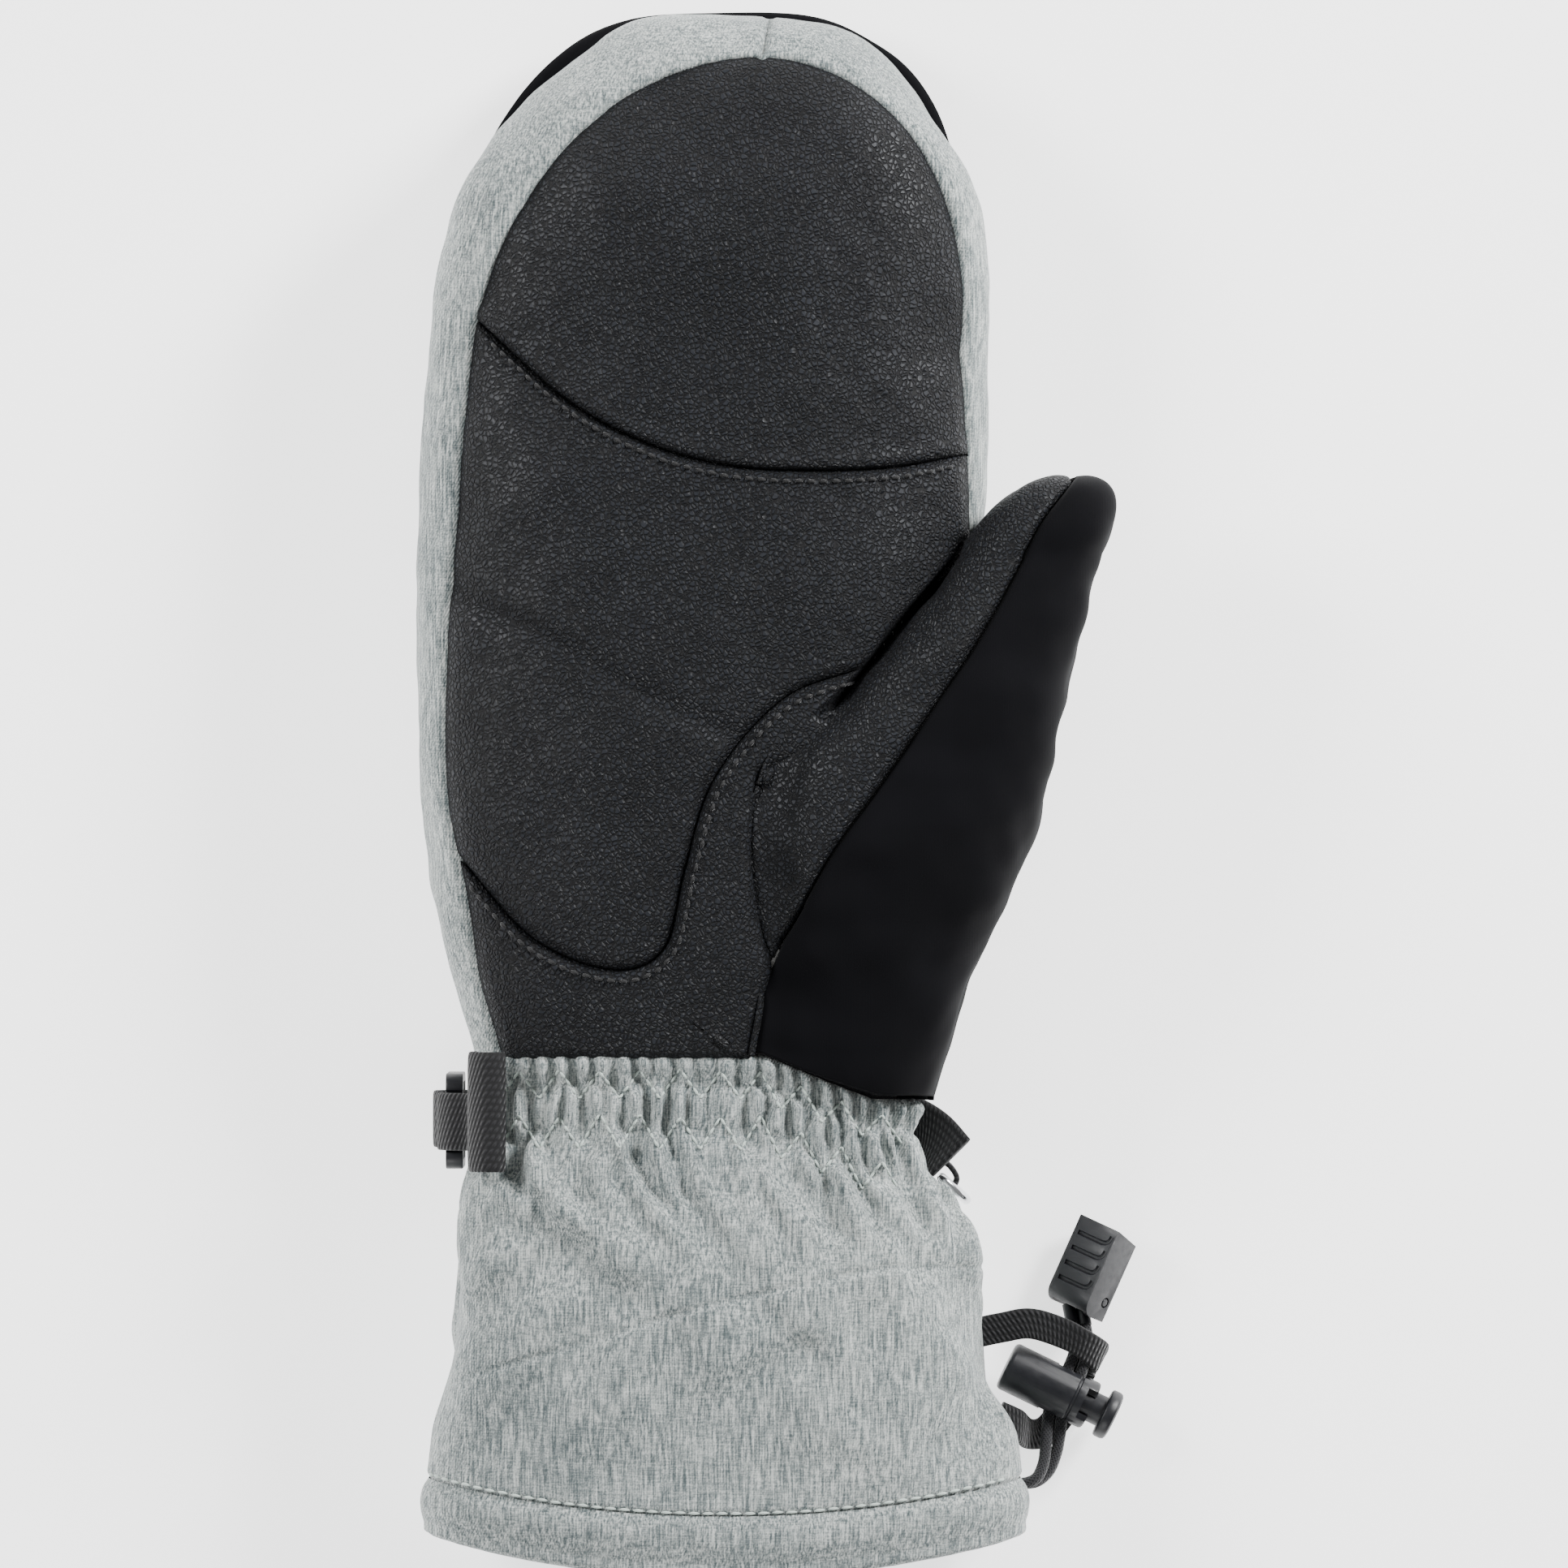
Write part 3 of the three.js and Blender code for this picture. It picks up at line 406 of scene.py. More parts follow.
def fleece_material(name, low, high, lump=900.0):
    made = Nodes(name, 1.0, Sheen_Weight=0.5, Sheen_Roughness=0.6, Specular_IOR_Level=0.1)
    place = made.place((1, 1, 1))
    fuzz = made.noise(lump, place, 5.0, 0.7)
    return made.use(made.ramp(fuzz, [(0.3, low), (0.7, high)]), None, made.bump(fuzz, 0.0006, 0.7))


def webbing_material():
    """Ribbed black webbing. UV is in millimetres: across, then along."""
    made = Nodes("webbing", 0.75, Sheen_Weight=0.2, Sheen_Roughness=0.5, Specular_IOR_Level=0.3)
    across = made.bands(0.21, uv=True)
    rows = made.bands(0.33, "Y", 24, uv=True, Distortion=0.5)
    weave = made.maths("MULTIPLY", made.maths("ADD", across, 0.35), rows)
    colour = made.ramp(weave, [(0.1, (0.001, 0.001, 0.0015)), (0.75, (0.011, 0.011, 0.013))])
    fuzz = made.noise(4200, made.place((1, 1, 1)), 2.0)
    height = made.maths("ADD", weave, made.maths("MULTIPLY", fuzz, 0.3))
    return made.use(colour, None, made.bump(height, 0.0003, 0.9))


def braid_material():
    """Braided elastic cord. UV is in millimetres: round, then along."""
    made = Nodes("cord", 0.7, Sheen_Weight=0.2, Sheen_Roughness=0.5, Specular_IOR_Level=0.35)
    weave = made.maths("MAXIMUM", made.bands(0.52, turn=38, uv=True), made.bands(0.52, turn=-38, uv=True))
    colour = made.ramp(weave, [(0.25, (0.001, 0.001, 0.0015)), (0.95, (0.014, 0.014, 0.017))])
    return made.use(colour, None, made.bump(weave, 0.0002, 0.8))


def plastic_material():
    """Moulded acetal with a fine spark-eroded texture."""
    made = Nodes("moulded_plastic", 0.4, Specular_IOR_Level=0.5)
    place = made.place((1, 1, 1))
    colour = made.mottle(90, 3.0, (0.006, 0.0065, 0.009), (0.010, 0.0105, 0.014), place)
    rough = made.ramp(made.noise(700, place, 4.0), [(0.3, grey(0.34)), (0.7, grey(0.5))])
    return made.use(colour, rough, made.bump(made.noise(6500, place, 2.0), 0.00003, 0.5))


def steel_material():
    made = Nodes("polished_steel", 0.18, Metallic=1.0)
    place = made.place((1, 1, 1))
    colour = made.mottle(140, 4.0, (0.62, 0.63, 0.65), (0.8, 0.81, 0.82), place, (0.3, 0.8))
    scratch = made.noise(1.0, made.place((300, 2400, 300)), 3.0)
    rough = made.ramp(scratch, [(0.3, grey(0.14)), (0.8, grey(0.3))])
    return made.use(colour, rough, made.bump(scratch, 0.00001, 0.3))


def thread_material(name, colour):
    made = Nodes(name, 0.65, Sheen_Weight=0.2, Sheen_Roughness=0.4)
    twist = made.node("ShaderNodeTexWave", {"Vector": made.place((1, 1, 1), (0, 0, 0.7)), "Scale": 1500.0})
    darker = tuple(c * 0.55 for c in colour)
    return made.use(made.ramp(twist.outputs["Fac"], [(0.0, darker), (1.0, colour)]), None,
                    made.bump(twist.outputs["Fac"], 0.00005, 0.6))


MATERIALS = {
    "palm_leather": leather_material(),
    "grey_twill": twill_material(),
    "softshell": softshell_material(),
    "wadding": fleece_material("wadding", (0.62, 0.62, 0.6), (0.86, 0.86, 0.84)),
    "fleece": fleece_material("fleece", (0.010, 0.010, 0.012), (0.035, 0.035, 0.04)),
    "elastic": fleece_material("elastic", (0.6, 0.6, 0.58), (0.82, 0.82, 0.8), 2400.0),
    "webbing": webbing_material(),
    "cord": braid_material(),
    "plastic": plastic_material(),
    "steel": steel_material(),
    "dark_thread": thread_material("dark_thread", (0.004, 0.004, 0.005)),
    "mint_thread": thread_material("mint_thread", (0.70, 0.80, 0.74)),
}


def finish_piece(thing, slot, body, *nodes, material=None):
    """Gives a piece the material that its slot names, or the one given, puts it under its body, and hides
    the CAD nodes that it stands for.
    """
    thing.data.materials.clear()
    thing.data.materials.append(MATERIALS[material or slot])
    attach(thing, body)
    if nodes:
        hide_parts(*nodes)
    return thing


# ---------- the mitten's surface, from its stations along Y ----------

# [y, left x, right x, low z, high z]
HAND_STATIONS = [
    [-75, -57, 33, 11, 44], [-57, -58.6, 34.5, 9, 45.5], [-45, -62, 36, 4, 48], [-33, -65.5, 38, 0, 50],
    [-14, -68.9, 41, -3, 52], [5, -70.5, 43, -3.5, 53], [32, -71, 44.5, -3.5, 53], [60, -70.7, 45, -3.5, 52],
    [90, -68.7, 45.9, -3, 50],
]
HAND_TIP = (73.5, -6.8, 2.3)
THUMB_STATIONS = [
    [-75, -5, 33, 12, 43], [-57, -4, 36, 12, 46], [-45, -2, 42, 13, 50], [-30, -3, 48.5, 15, 55],
    [-10, -3, 57.5, 17, 59], [5, 1, 60.5, 19, 60], [20, 18, 64.6, 21, 59], [35, 29.5, 68.3, 23, 57],
    [48, 40.5, 71, 25, 54],
]
THUMB_TIP = (17.8, 64.5, 2.2)
# The last column moves the cuff's sides towards the fingers, so that the hem is curved
CUFF_STATIONS = [
    [-172, -70.8, 55.5, -2, 44, 8.5], [-145, -70.2, 53.6, -3, 47, 6], [-126, -67.7, 48.7, -3, 48, 2],
    [-108, -65.3, 46, -1, 48, 0], [-95, -64, 44, 3, 47, 0], [-84, -62.8, 37, 7, 45.5, 0],
    [-75, -58.5, 32.5, 10, 44, 0], [-66, -57.5, 33, 11, 43.5, 0], [-50, -60, 36, 9, 46, 0],
]
PALM_EDGES = [
    [-80, -50, 40], [-57, -54.4, 40], [-42, -58.8, 42], [-23, -62, 44], [-5, -65.6, 44], [32, -65.8, 43.5],
    [60, -63.6, 43.2], [90, -61, 41.5],
]
PALM_TIP = (-1.7, 152)
CREASE = [
    (-59.5, 96.9), (-40.8, 80.2), (-23.8, 70.9), (-6.8, 66.3), (10.2, 65.3), (27.2, 66.1), (43.2, 69.2),
]
HEEL_SEAM = [
    (-64.0, -14.1), (-47.6, -32), (-30.6, -38.5), (-20.4, -33.7), (-16.2, -17.5), (-10.2, 1.2), (3.4, 17.3),
    (18.7, 23.6), (34, 28), (43.6, 31),
]
THUMB_FOLD = [
    (-6, -57), (-3, -45), (0, -36), (-2, -25), (-3, -10), (1.7, 10.5), (22, 20), (36, 25), (44, 27),
]
THUMB_SEAM = [
    (-6.4, -68), (-5.4, -55), (-2.5, -43.9), (11.9, -17.5), (23.8, -0.5), (34, 14.8), (44.2, 30.1),
    (53.6, 47.1), (58, 56), (64.5, 66),
]
WRIST_SEAM = [(-100, -57), (-30, -56), (0, -56.5), (14, -62), (24, -65.5), (40, -66), (100, -66)]
QUILT_LINE = [(-65, 42.8), (-57.8, 36.9), (-40.8, 28.4), (-23.8, 18.2), (-7, 10.5)]
WRIST_Y = -57
THUMB_GAP = 0.4                  # between the thumb's underside and the hand
BESIDE_SLOPE = 8                 # how steeply the hand rises again beside the thumb
BEND_START = (43.2, 4.2)         # past this line, from here towards there, the thumb is clear of the hand
BEND_END = (48.6, 19.2)
BEND_FADE = (-3, 9)              # distances along that line between which the groove under the thumb deepens
BLEND_START = (40.6, -3.0)       # two points at the thumb's bend; build_thumb works out their places but nothing uses them
BLEND_END = (51.2, 26.6)
BLEND_HEIGHT = 40
GUSSET_LOW = 12                  # height where the gusset meets the back panel
ROLL = 2.4                       # the edge of every panel turns down into its seam within this distance
PALM_DENT = (35.7, 93)


def station_table(rows):
    """Smooth values between stations: a function of y that gives the other columns."""
    rows = np.array(sorted(rows), float)
    slopes = np.gradient(rows[:, 1:], rows[:, 0], axis=0)

    def at(y):
        y = np.clip(np.asarray(y, float), rows[0, 0], rows[-1, 0])
        below = np.clip(np.searchsorted(rows[:, 0], y, side="right") - 1, 0, len(rows) - 2)
        step = (rows[below + 1, 0] - rows[below, 0])[..., None]
        t = (y - rows[below, 0])[..., None] / step
        start = (1 + 2 * t) * (1 - t) ** 2 * rows[below, 1:] + t * (1 - t) ** 2 * step * slopes[below]
        end = t * t * (3 - 2 * t) * rows[below + 1, 1:] + t * t * (t - 1) * step * slopes[below + 1]
        return np.moveaxis(start + end, -1, 0)
    return at


hand_at = station_table(HAND_STATIONS)
thumb_at = station_table(THUMB_STATIONS)
cuff_at = station_table(CUFF_STATIONS)
palm_edge_at = station_table(PALM_EDGES)
HAND_END = HAND_STATIONS[-1][0]
THUMB_END = THUMB_STATIONS[-1][0]
HAND_SHAPE = (hand_at, HAND_END, HAND_TIP)
THUMB_SHAPE = (thumb_at, THUMB_END, THUMB_TIP)


def section(at, end, tip, y):
    """The middle and half sizes of the cross-section at y, which shrinks past the last station."""
    length, tip_x, power = tip
    left, right, low, high = at(np.minimum(y, end))
    along = np.clip((y - end) / length, 0, 1)
    shrink = (1 - along ** power) ** (1 / power) + NARROW
    middle = (left + right) / 2 * (1 - along) + tip_x * along
    return middle, (right - left) / 2 * shrink, (low + high) / 2, (high - low) / 2 * shrink


def rise(across):
    """How high a section stands, from 0 to 1, at a place across it from -1 to 1."""
    return (1 - np.clip(np.abs(across), 0, 1) ** SECTION_POWER) ** (1 / SECTION_POWER)


def hand_top(x, y):
    middle, half, height, half_height = section(*HAND_SHAPE, y)
    return height + half_height * rise((x - middle) / half)


def thumb_underside(x, y):
    """The height just below the thumb. Beside the thumb it rises steeply, and then it is out of the way."""
    middle, half, height, half_height = section(*THUMB_SHAPE, y)
    across = (x - middle) / (half + THUMB_GAP)
    beside = np.clip(np.abs(across) - 1, 0, None) * (half + THUMB_GAP)
    return height - (half_height + THUMB_GAP) * rise(across) + beside * BESIDE_SLOPE


def past_bend(x, y):
    """0 before the thumb's bend, 1 after it."""
    start, end = np.array(BEND_START), np.array(BEND_END)
    direction = (end - start) / np.linalg.norm(end - start)
    along = (x - start[0]) * direction[0] + (y - start[1]) * direction[1]
    return smoothstep(along, *BEND_FADE)


def under_thumb(x, y, z):
    """Presses the hand down where the thumb lies over it."""
    limit = thumb_underside(x, y)
    fade = past_bend(x, y) * (y < THUMB_END + THUMB_TIP[0] + 2)
    return np.where((limit < z) & (fade > 0), z + (limit - z) * fade, z)


def wrist_seam_y(x):
    line = np.array(WRIST_SEAM)
    return np.interp(x, line[:, 0], line[:, 1])


def palm_outline(from_y):
    """The palm's outline as three dense lines: left side upwards, round the tip, right side upwards."""
    ys = np.linspace(from_y, HAND_END, 90)
    left, right = palm_edge_at(ys)
    end_left, end_right = palm_edge_at(HAND_END)
    tip_x, tip_y = PALM_TIP
    angles = np.linspace(0, math.pi / 2, 80)
    middle = (end_left + end_right) / 2 * (1 - np.sin(angles)) + tip_x * np.sin(angles)
    half = (end_right - end_left) / 2 * np.cos(angles)
    y = HAND_END + (tip_y - HAND_END) * np.sin(angles)
    corner = 42
    left_line = np.concatenate([np.stack([left, ys], 1), np.stack([middle - half, y], 1)[1:corner]])
    right_line = np.concatenate([np.stack([right, ys], 1), np.stack([middle + half, y], 1)[1:corner]])
    top_left = np.stack([middle - half, y], 1)[corner - 1:]
    top_right = np.stack([middle + half, y], 1)[corner - 1:]
    return left_line, np.concatenate([top_left, top_right[::-1][1:]]), right_line


def coons(bottom, top, left, right, rows, columns):
    """Plan points over a patch between four lines: two that run to the right, and two that run upwards."""
    u = np.linspace(0, 1, columns)[None, :, None]
    v = np.linspace(0, 1, rows)[:, None, None]
    bottom, top = resample(bottom, columns), resample(top, columns)
    left, right = resample(left, rows), resample(right, rows)
    ruled = (1 - v) * bottom[None] + v * top[None] + (1 - u) * left[:, None] + u * right[:, None]
    corners = ((1 - u) * (1 - v) * bottom[0] + u * (1 - v) * bottom[-1]
               + (1 - u) * v * top[0] + u * v * top[-1])
    return ruled - corners


def border_of(grid):
    """The four edges of a grid of points, as one dense closed line."""
    edges = [grid[0], grid[:, -1], grid[-1][::-1], grid[:, 0][::-1]]
    line = np.concatenate(edges)
    return resample(line, 1600)


def flat3(points):
    points = np.asarray(points, float).reshape(-1, 2)
    return np.concatenate([points, np.zeros((len(points), 1))], axis=1)


def edge_roll(distance, radius=ROLL):
    """How far a panel drops at a distance from its edge, so that it turns down into the seam."""
    inside = np.clip(distance / radius, 0, 1)
    return radius * (1 - np.sqrt(np.clip(1 - (1 - inside) ** 2, 0, 1)))


def valley(points, line, depth, width):
    return -depth * np.exp(-(distance_to(points, line) / width) ** 2)


# ---------- leather palm ----------

PUFF_REACH = 8.0                 # a panel reaches its full puff at about this distance from its seams
PALM_LUMPS = ((1.1, 30.0, 3.1), (0.55, 13.0, 8.0), (0.22, 5.5, 1.7))   # height, size and seed
QUILT_DEPTH = 1.0
QUILT_WIDTH = 2.6
DENT_DEPTH = 1.6
PANEL_PUFF = {"palm_finger_panel": 1.4, "palm_centre_panel": 1.2, "palm_heel_panel": 1.3}
CREASE_FOLD = 1.1                # the finger panel stands this much higher along the crease
CREASE_FOLD_WIDTH = 3.0
CREASE_TUCK = 1.3                # the centre panel runs this far under the finger panel
TOPSTITCH_PITCH = 2.6


def palm_relief(plan, puff, extra=0.0):
    """The height above the plain surface: puffed panels, soft dents and the quilting line."""
    points = flat3(plan)
    distance = distance_to(points, flat3(border_of(plan)))
    relief = puff * (1 - np.exp(-distance / PUFF_REACH)) - edge_roll(distance)
    for amount, scale, seed in PALM_LUMPS:
        relief += amount * soft_noise(points, scale, seed)
    relief += valley(points, flat3(curve_through(QUILT_LINE, 200)), QUILT_DEPTH, QUILT_WIDTH)
    dent = np.linalg.norm(points[:, :2] - np.array(PALM_DENT), axis=1)
    relief -= DENT_DEPTH * np.exp(-(dent / PUFF_REACH) ** 2)
    return relief.reshape(plan.shape[:2]) + extra


def palm_piece(name, plan, extra=0.0):
    x, y = plan[..., 0], plan[..., 1]
    z = under_thumb(x, y, hand_top(x, y) + palm_relief(plan, PANEL_PUFF[name], extra))
    piece = thicken(grid_piece(name, np.stack([x, y, z], axis=-1)), FABRIC)
    return finish_piece(piece, "palm_leather", HAND, name)


def nearest_index(line, point):
    return int(np.argmin(np.linalg.norm(line - np.array(point), axis=1)))


def build_palm():
    left, top, right = palm_outline(WRIST_Y)
    crease = curve_through(CREASE, 240)
    crease[:, 0] = np.clip(crease[:, 0], None, palm_edge_at(CREASE[-1][1])[1])
    heel = curve_through(HEEL_SEAM, 300)
    crease_left, crease_right = nearest_index(left, crease[0]), nearest_index(right, crease[-1])
    heel_left, heel_right = nearest_index(left, heel[0]), nearest_index(right, heel[-1])
    crease[0], crease[-1] = left[crease_left], right[crease_right]
    heel[0], heel[-1] = left[heel_left], right[heel_right]

    finger = coons(crease, top, left[crease_left:], right[crease_right:], 150, 180)
    past_crease = finger[..., 1] - crease_height(finger[..., 0], crease)
    palm_piece("palm_finger_panel", finger, CREASE_FOLD * np.exp(-(past_crease / CREASE_FOLD_WIDTH) ** 2))

    tucked = crease + np.array([0, CREASE_TUCK])
    left_part, right_part = left[heel_left:crease_left + 1], right[heel_right:crease_right + 1]
    palm_piece("palm_centre_panel", coons(heel, tucked, left_part, right_part, 150, 170))

    # The heel panel runs on under the thumb, further where the thumb rises out of the hand
    wrist_x = np.linspace(left[0][0], THUMB_FOLD[0][0] + 3, 60)
    wrist = np.stack([wrist_x, np.full(60, WRIST_Y + 0.6)], axis=1)
    fold = curve_through(THUMB_FOLD, 160)
    under = 0.8 + 8 * smoothstep(fold[:, 1], 2, 14) + 2.2 * smoothstep(-fold[:, 1], 30, 44)
    fold = fold + np.stack([under, -0.6 * under * (fold[:, 1] > 0)], axis=1)
    lower = np.concatenate([wrist, fold])
    lower[-1] = heel[-1] - np.array([0, 2])
    right_part = np.array([lower[-1], heel[-1]])
    palm_piece("palm_heel_panel", coons(lower, heel, left[:heel_left + 1], right_part, 60, 260))

    below_crease = crease[6:-6] + np.array([0, -2.3])
    stitch_on_hand("crease_topstitch", below_crease, TOPSTITCH_PITCH, "dark_thread", 0.2)
    beside_heel = offset_line(heel, -2.2)[12:-30]
    stitch_on_hand("thumb_base_topstitch", beside_heel, TOPSTITCH_PITCH, "dark_thread", 0.2)


def crease_height(x, crease):
    return np.interp(x, crease[:, 0], crease[:, 1])


def offset_line(line, distance):
    """A plan line moved sideways; a positive distance is to the left of its direction."""
    steps = np.gradient(line, axis=0)
    steps /= np.linalg.norm(steps, axis=1)[:, None]
    return line + distance * np.stack([-steps[:, 1], steps[:, 0]], axis=1)


# ---------- stitches ----------

STITCH_SIDES = 6
STITCH_RINGS = 5
STITCH_WOBBLE = 0.12             # how far a stitch may stray from the line
PALM_STITCH_RADIUS = 0.42
PALM_STITCH_SHARE = 0.68         # of the pitch; the rest is the gap between stitches


def stitch_points(line, along, start, length, radius, shift):
    """One stitch: rings of points round a short arched tube that dips in at its ends."""
    points = []
    for ring in range(STITCH_RINGS):
        t = ring / (STITCH_RINGS - 1)
        at = start + t * length
        place = np.array([np.interp(at, along, line[:, axis]) for axis in range(3)])
        ahead = np.array([np.interp(at + 0.2, along, line[:, axis]) for axis in range(3)])
        direction = ahead - place
        direction /= np.linalg.norm(direction) + 1e-9
        side = np.cross(direction, (0, 0, 1))
        side /= np.linalg.norm(side) + 1e-9
        up = np.cross(side, direction)
        arch = radius * 1.3 * (math.sin(math.pi * t) - 0.45)
        girth = radius * (0.45 + 0.55 * math.sin(math.pi * t))
        for corner in range(STITCH_SIDES):
            angle = 2 * math.pi * corner / STITCH_SIDES
            offset = side * (girth * math.cos(angle) + shift) + up * (girth * math.sin(angle) + arch)
            points.append(place + offset)
    return points


def capsule_chain(points, pitch, length, radius):
    """Separate stitches along a line of 3-D points."""
    line = resample(np.asarray(points, float), 1200)
    along = lengths_along(line)
    vertices, faces = [], []
    for start in np.arange(pitch / 2, along[-1] - length, pitch):
        base = len(vertices)
        shift = STITCH_WOBBLE * (random.random() - 0.5)
        vertices += stitch_points(line, along, start, length, radius, shift)
        for face in grid_faces(STITCH_RINGS, STITCH_SIDES, wrap=True):
            faces.append(tuple(base + corner for corner in face))
        faces.append(tuple(base + corner for corner in reversed(range(STITCH_SIDES))))
        last = base + (STITCH_RINGS - 1) * STITCH_SIDES
        faces.append(tuple(last + corner for corner in range(STITCH_SIDES)))
    return vertices, faces


def stitch_on_surface(name, points, pitch, length, radius, thread, slot):
    vertices, faces = capsule_chain(points, pitch, length, radius)
    return finish_piece(mesh_object(name, vertices, faces), slot, HAND, material=thread)


def surface_heights(plan, names, above=0.0):
    """Drops plan points onto named pieces from above and gives 3-D points."""
    trees = []
    for name in names:
        mesh = bpy.data.objects[name + PIECE].data
        corners = [vertex.co for vertex in mesh.vertices]
        trees.append(BVHTree.FromPolygons(corners, [tuple(face.vertices) for face in mesh.polygons]))
    points = []
    for x, y in plan:
        start = Vector(((x + ORIGIN_SHIFT) * MM, y * MM, 0.2))
        hits = [tree.ray_cast(start, Vector((0, 0, -1))) for tree in trees]
        heights = [hit[0].z for hit in hits if hit[0]]
        if heights:
            points.append((x, y, max(heights) / MM + above))
    return points


def stitch_on_hand(name, plan, pitch, thread, above):
    panels = ["palm_finger_panel", "palm_centre_panel", "palm_heel_panel"]
    points = surface_heights(resample(plan, 220), panels, above)
    length = pitch * PALM_STITCH_SHARE
    return stitch_on_surface(name, points, pitch, length, PALM_STITCH_RADIUS, thread, "palm_leather")


# ---------- gusset and back ----------

HAND_CENTRE = (-12.0, 40.0, 24.0)
GUSSET_ROWS = 40                 # from the palm down to the back panel
GUSSET_PUFF = 1.5
WIDEST = 0.6                     # the part of the gusset's rows that lie above its widest place
TIP_SEAM_X = 0.85                # the two gusset strips meet here at the fingertips
TIP_FROM_Y = 118                 # past this the gusset is drawn in, and the back panel shows beyond it
DRAWN_IN = (2.9, 3.0)            # how far it is drawn in, and how much that varies
DRAWN_IN_ROWS = ([0, 16, 26, 39], [0, 1, 0.9, 0.3])
PINCH_ROWS = ([0, 14, 26, 39], [1, 1, 0.15, 0])
THUMB_ROOT_Y = 36                # the gusset ends here, below the thumb
BACK_LIP = 9                     # the back panel goes in under the gusset by this much
BACK_LIP_RISE = 3.5
BACK_PEEK = 4.6                  # how far its rim stands out at the fingertips
BACK_BEAD = 1.1                  # the soft bead along its rim
FURTHEST_Y = 163.5


def perimeter(steps_side, steps_tip):
    """Places round the hand: for each, a plan centre and an outward direction."""
    places = []
    for y in np.linspace(WRIST_Y, HAND_END, steps_side)[:-1]:
        places.append((float(section(*HAND_SHAPE, np.array(y))[0]), y, -1.0, 0.0))
    middle = float(section(*HAND_SHAPE, np.array(float(HAND_END)))[0])
    for angle in np.linspace(math.pi, 0, steps_tip):
        places.append((middle, HAND_END, math.cos(angle), math.sin(angle)))
    for y in np.linspace(HAND_END, WRIST_Y, steps_side)[1:]:
        places.append((float(section(*HAND_SHAPE, np.array(y))[0]), y, 1.0, 0.0))
    return np.array(places)


def reached(places, reach):
    """The plan points at a distance outwards from each place."""
    return places[:, 0] + places[:, 2] * reach, places[:, 1] + places[:, 3] * reach


def reach_for_height(places, z):
    """How far from each centre the hand's surface passes through a height in its upper half."""
    low = np.zeros(len(places))
    high = np.full(len(places), 90.0)
    for _ in range(30):
        middle = (low + high) / 2
        x, y = reached(places, middle)
        centre, half, height, half_height = section(*HAND_SHAPE, y)
        inside = np.abs(x - centre) < half
        above = inside & (height + half_height * rise((x - centre) / half) > z)
        low = np.where(above, middle, low)
        high = np.where(above, high, middle)
    return low


def palm_edge_reach(places):
    """How far from each centre the palm's outline lies."""
    left, top, right = palm_outline(-60)
    line = np.concatenate([left, top[1:-1], right[::-1]])
    reach = []
    for x, y, dx, dy in places:
        offset = line - np.array([x, y])
        forward = offset @ np.array([dx, dy])
        sideways = np.abs(offset @ np.array([-dy, dx]))
        sideways[forward <= 0] = 1e6
        reach.append(forward[np.argmin(sideways)])
    return np.array(reach)


def middle_height(y):
    return section(*HAND_SHAPE, np.minimum(y, HAND_END))[2]


def side_strip(places, rows):
    """Points from the palm's edge, round the widest part, down to the back panel's edge."""
    edge = palm_edge_reach(places)
    height = middle_height(places[:, 1])
    edge_z = hand_top(*reached(places, edge))
    grid = []
    for row in range(rows):
        t = row / (rows - 1)
        if t <= WIDEST:
            z = height + (edge_z - height) * math.cos(math.pi / 2 * t / WIDEST) ** 0.8
        else:
            z = height - (height - GUSSET_LOW) * (t - WIDEST) / (1 - WIDEST)
        reach = reach_for_height(places, np.maximum(z, 2 * height - z) + 1e-3) if row else edge
        grid.append(np.stack([*reached(places, reach), z], axis=-1))
    return np.array(grid)


def normals_of(grid):
    """Unit normals of a grid of 3-D points."""
    along = np.gradient(grid, axis=0)
    across = np.gradient(grid, axis=1)
    normal = np.cross(along, across)
    length = np.linalg.norm(normal, axis=-1, keepdims=True)
    return normal / np.maximum(length, 1e-9)


def facing(normal, away):
    """Turns normals so that they look the same way as the vectors away from a middle."""
    flip = np.sign(np.sum(normal * away, axis=-1, keepdims=True))
    flip[flip == 0] = 1
    return normal * flip


def outward(grid, centre):
    """Unit normals that point away from a centre."""
    return facing(normals_of(grid), grid - np.array(centre))


def edge_distance(grid):
    """How far each point is from the nearer of its column's two ends."""
    steps = np.linalg.norm(np.diff(grid, axis=0), axis=-1)
    along = np.concatenate([np.zeros((1, grid.shape[1])), np.cumsum(steps, axis=0)])
    return np.minimum(along, along[-1] - along)


def puffed(grid, centre, puff, seed, roll=2.0):
    """Moves a grid outwards between its first and last rows, with soft wrinkles."""
    distance = edge_distance(grid)
    wrinkle = 0.7 * grid_noise(grid, 16.0, seed) + 0.4 * grid_noise(grid, 7.0, seed + 4)
    bulge = puff * (1 - np.exp(-distance / 5.0)) - edge_roll(distance, roll)
    return grid + outward(grid, centre) * (bulge + wrinkle * smoothstep(distance, 0, 5))[..., None]


def sheet_piece(name, grid, slot, *nodes):
    piece = grid_piece(name, grid)
    fix_normals(piece)
    thicken(piece, FABRIC)
    return finish_piece(piece, slot, HAND, *nodes)


def fix_normals(piece, away_from=None):
    """Turns an open sheet's faces so that they look away from the mitten's middle."""
    mesh = piece.data
    centre = Vector(away_from or [value * MM for value in HAND_CENTRE])
    total = sum((face.normal.dot(face.center - centre)) * face.area for face in mesh.polygons)
    if total < 0:
        mesh.flip_normals()
    return piece


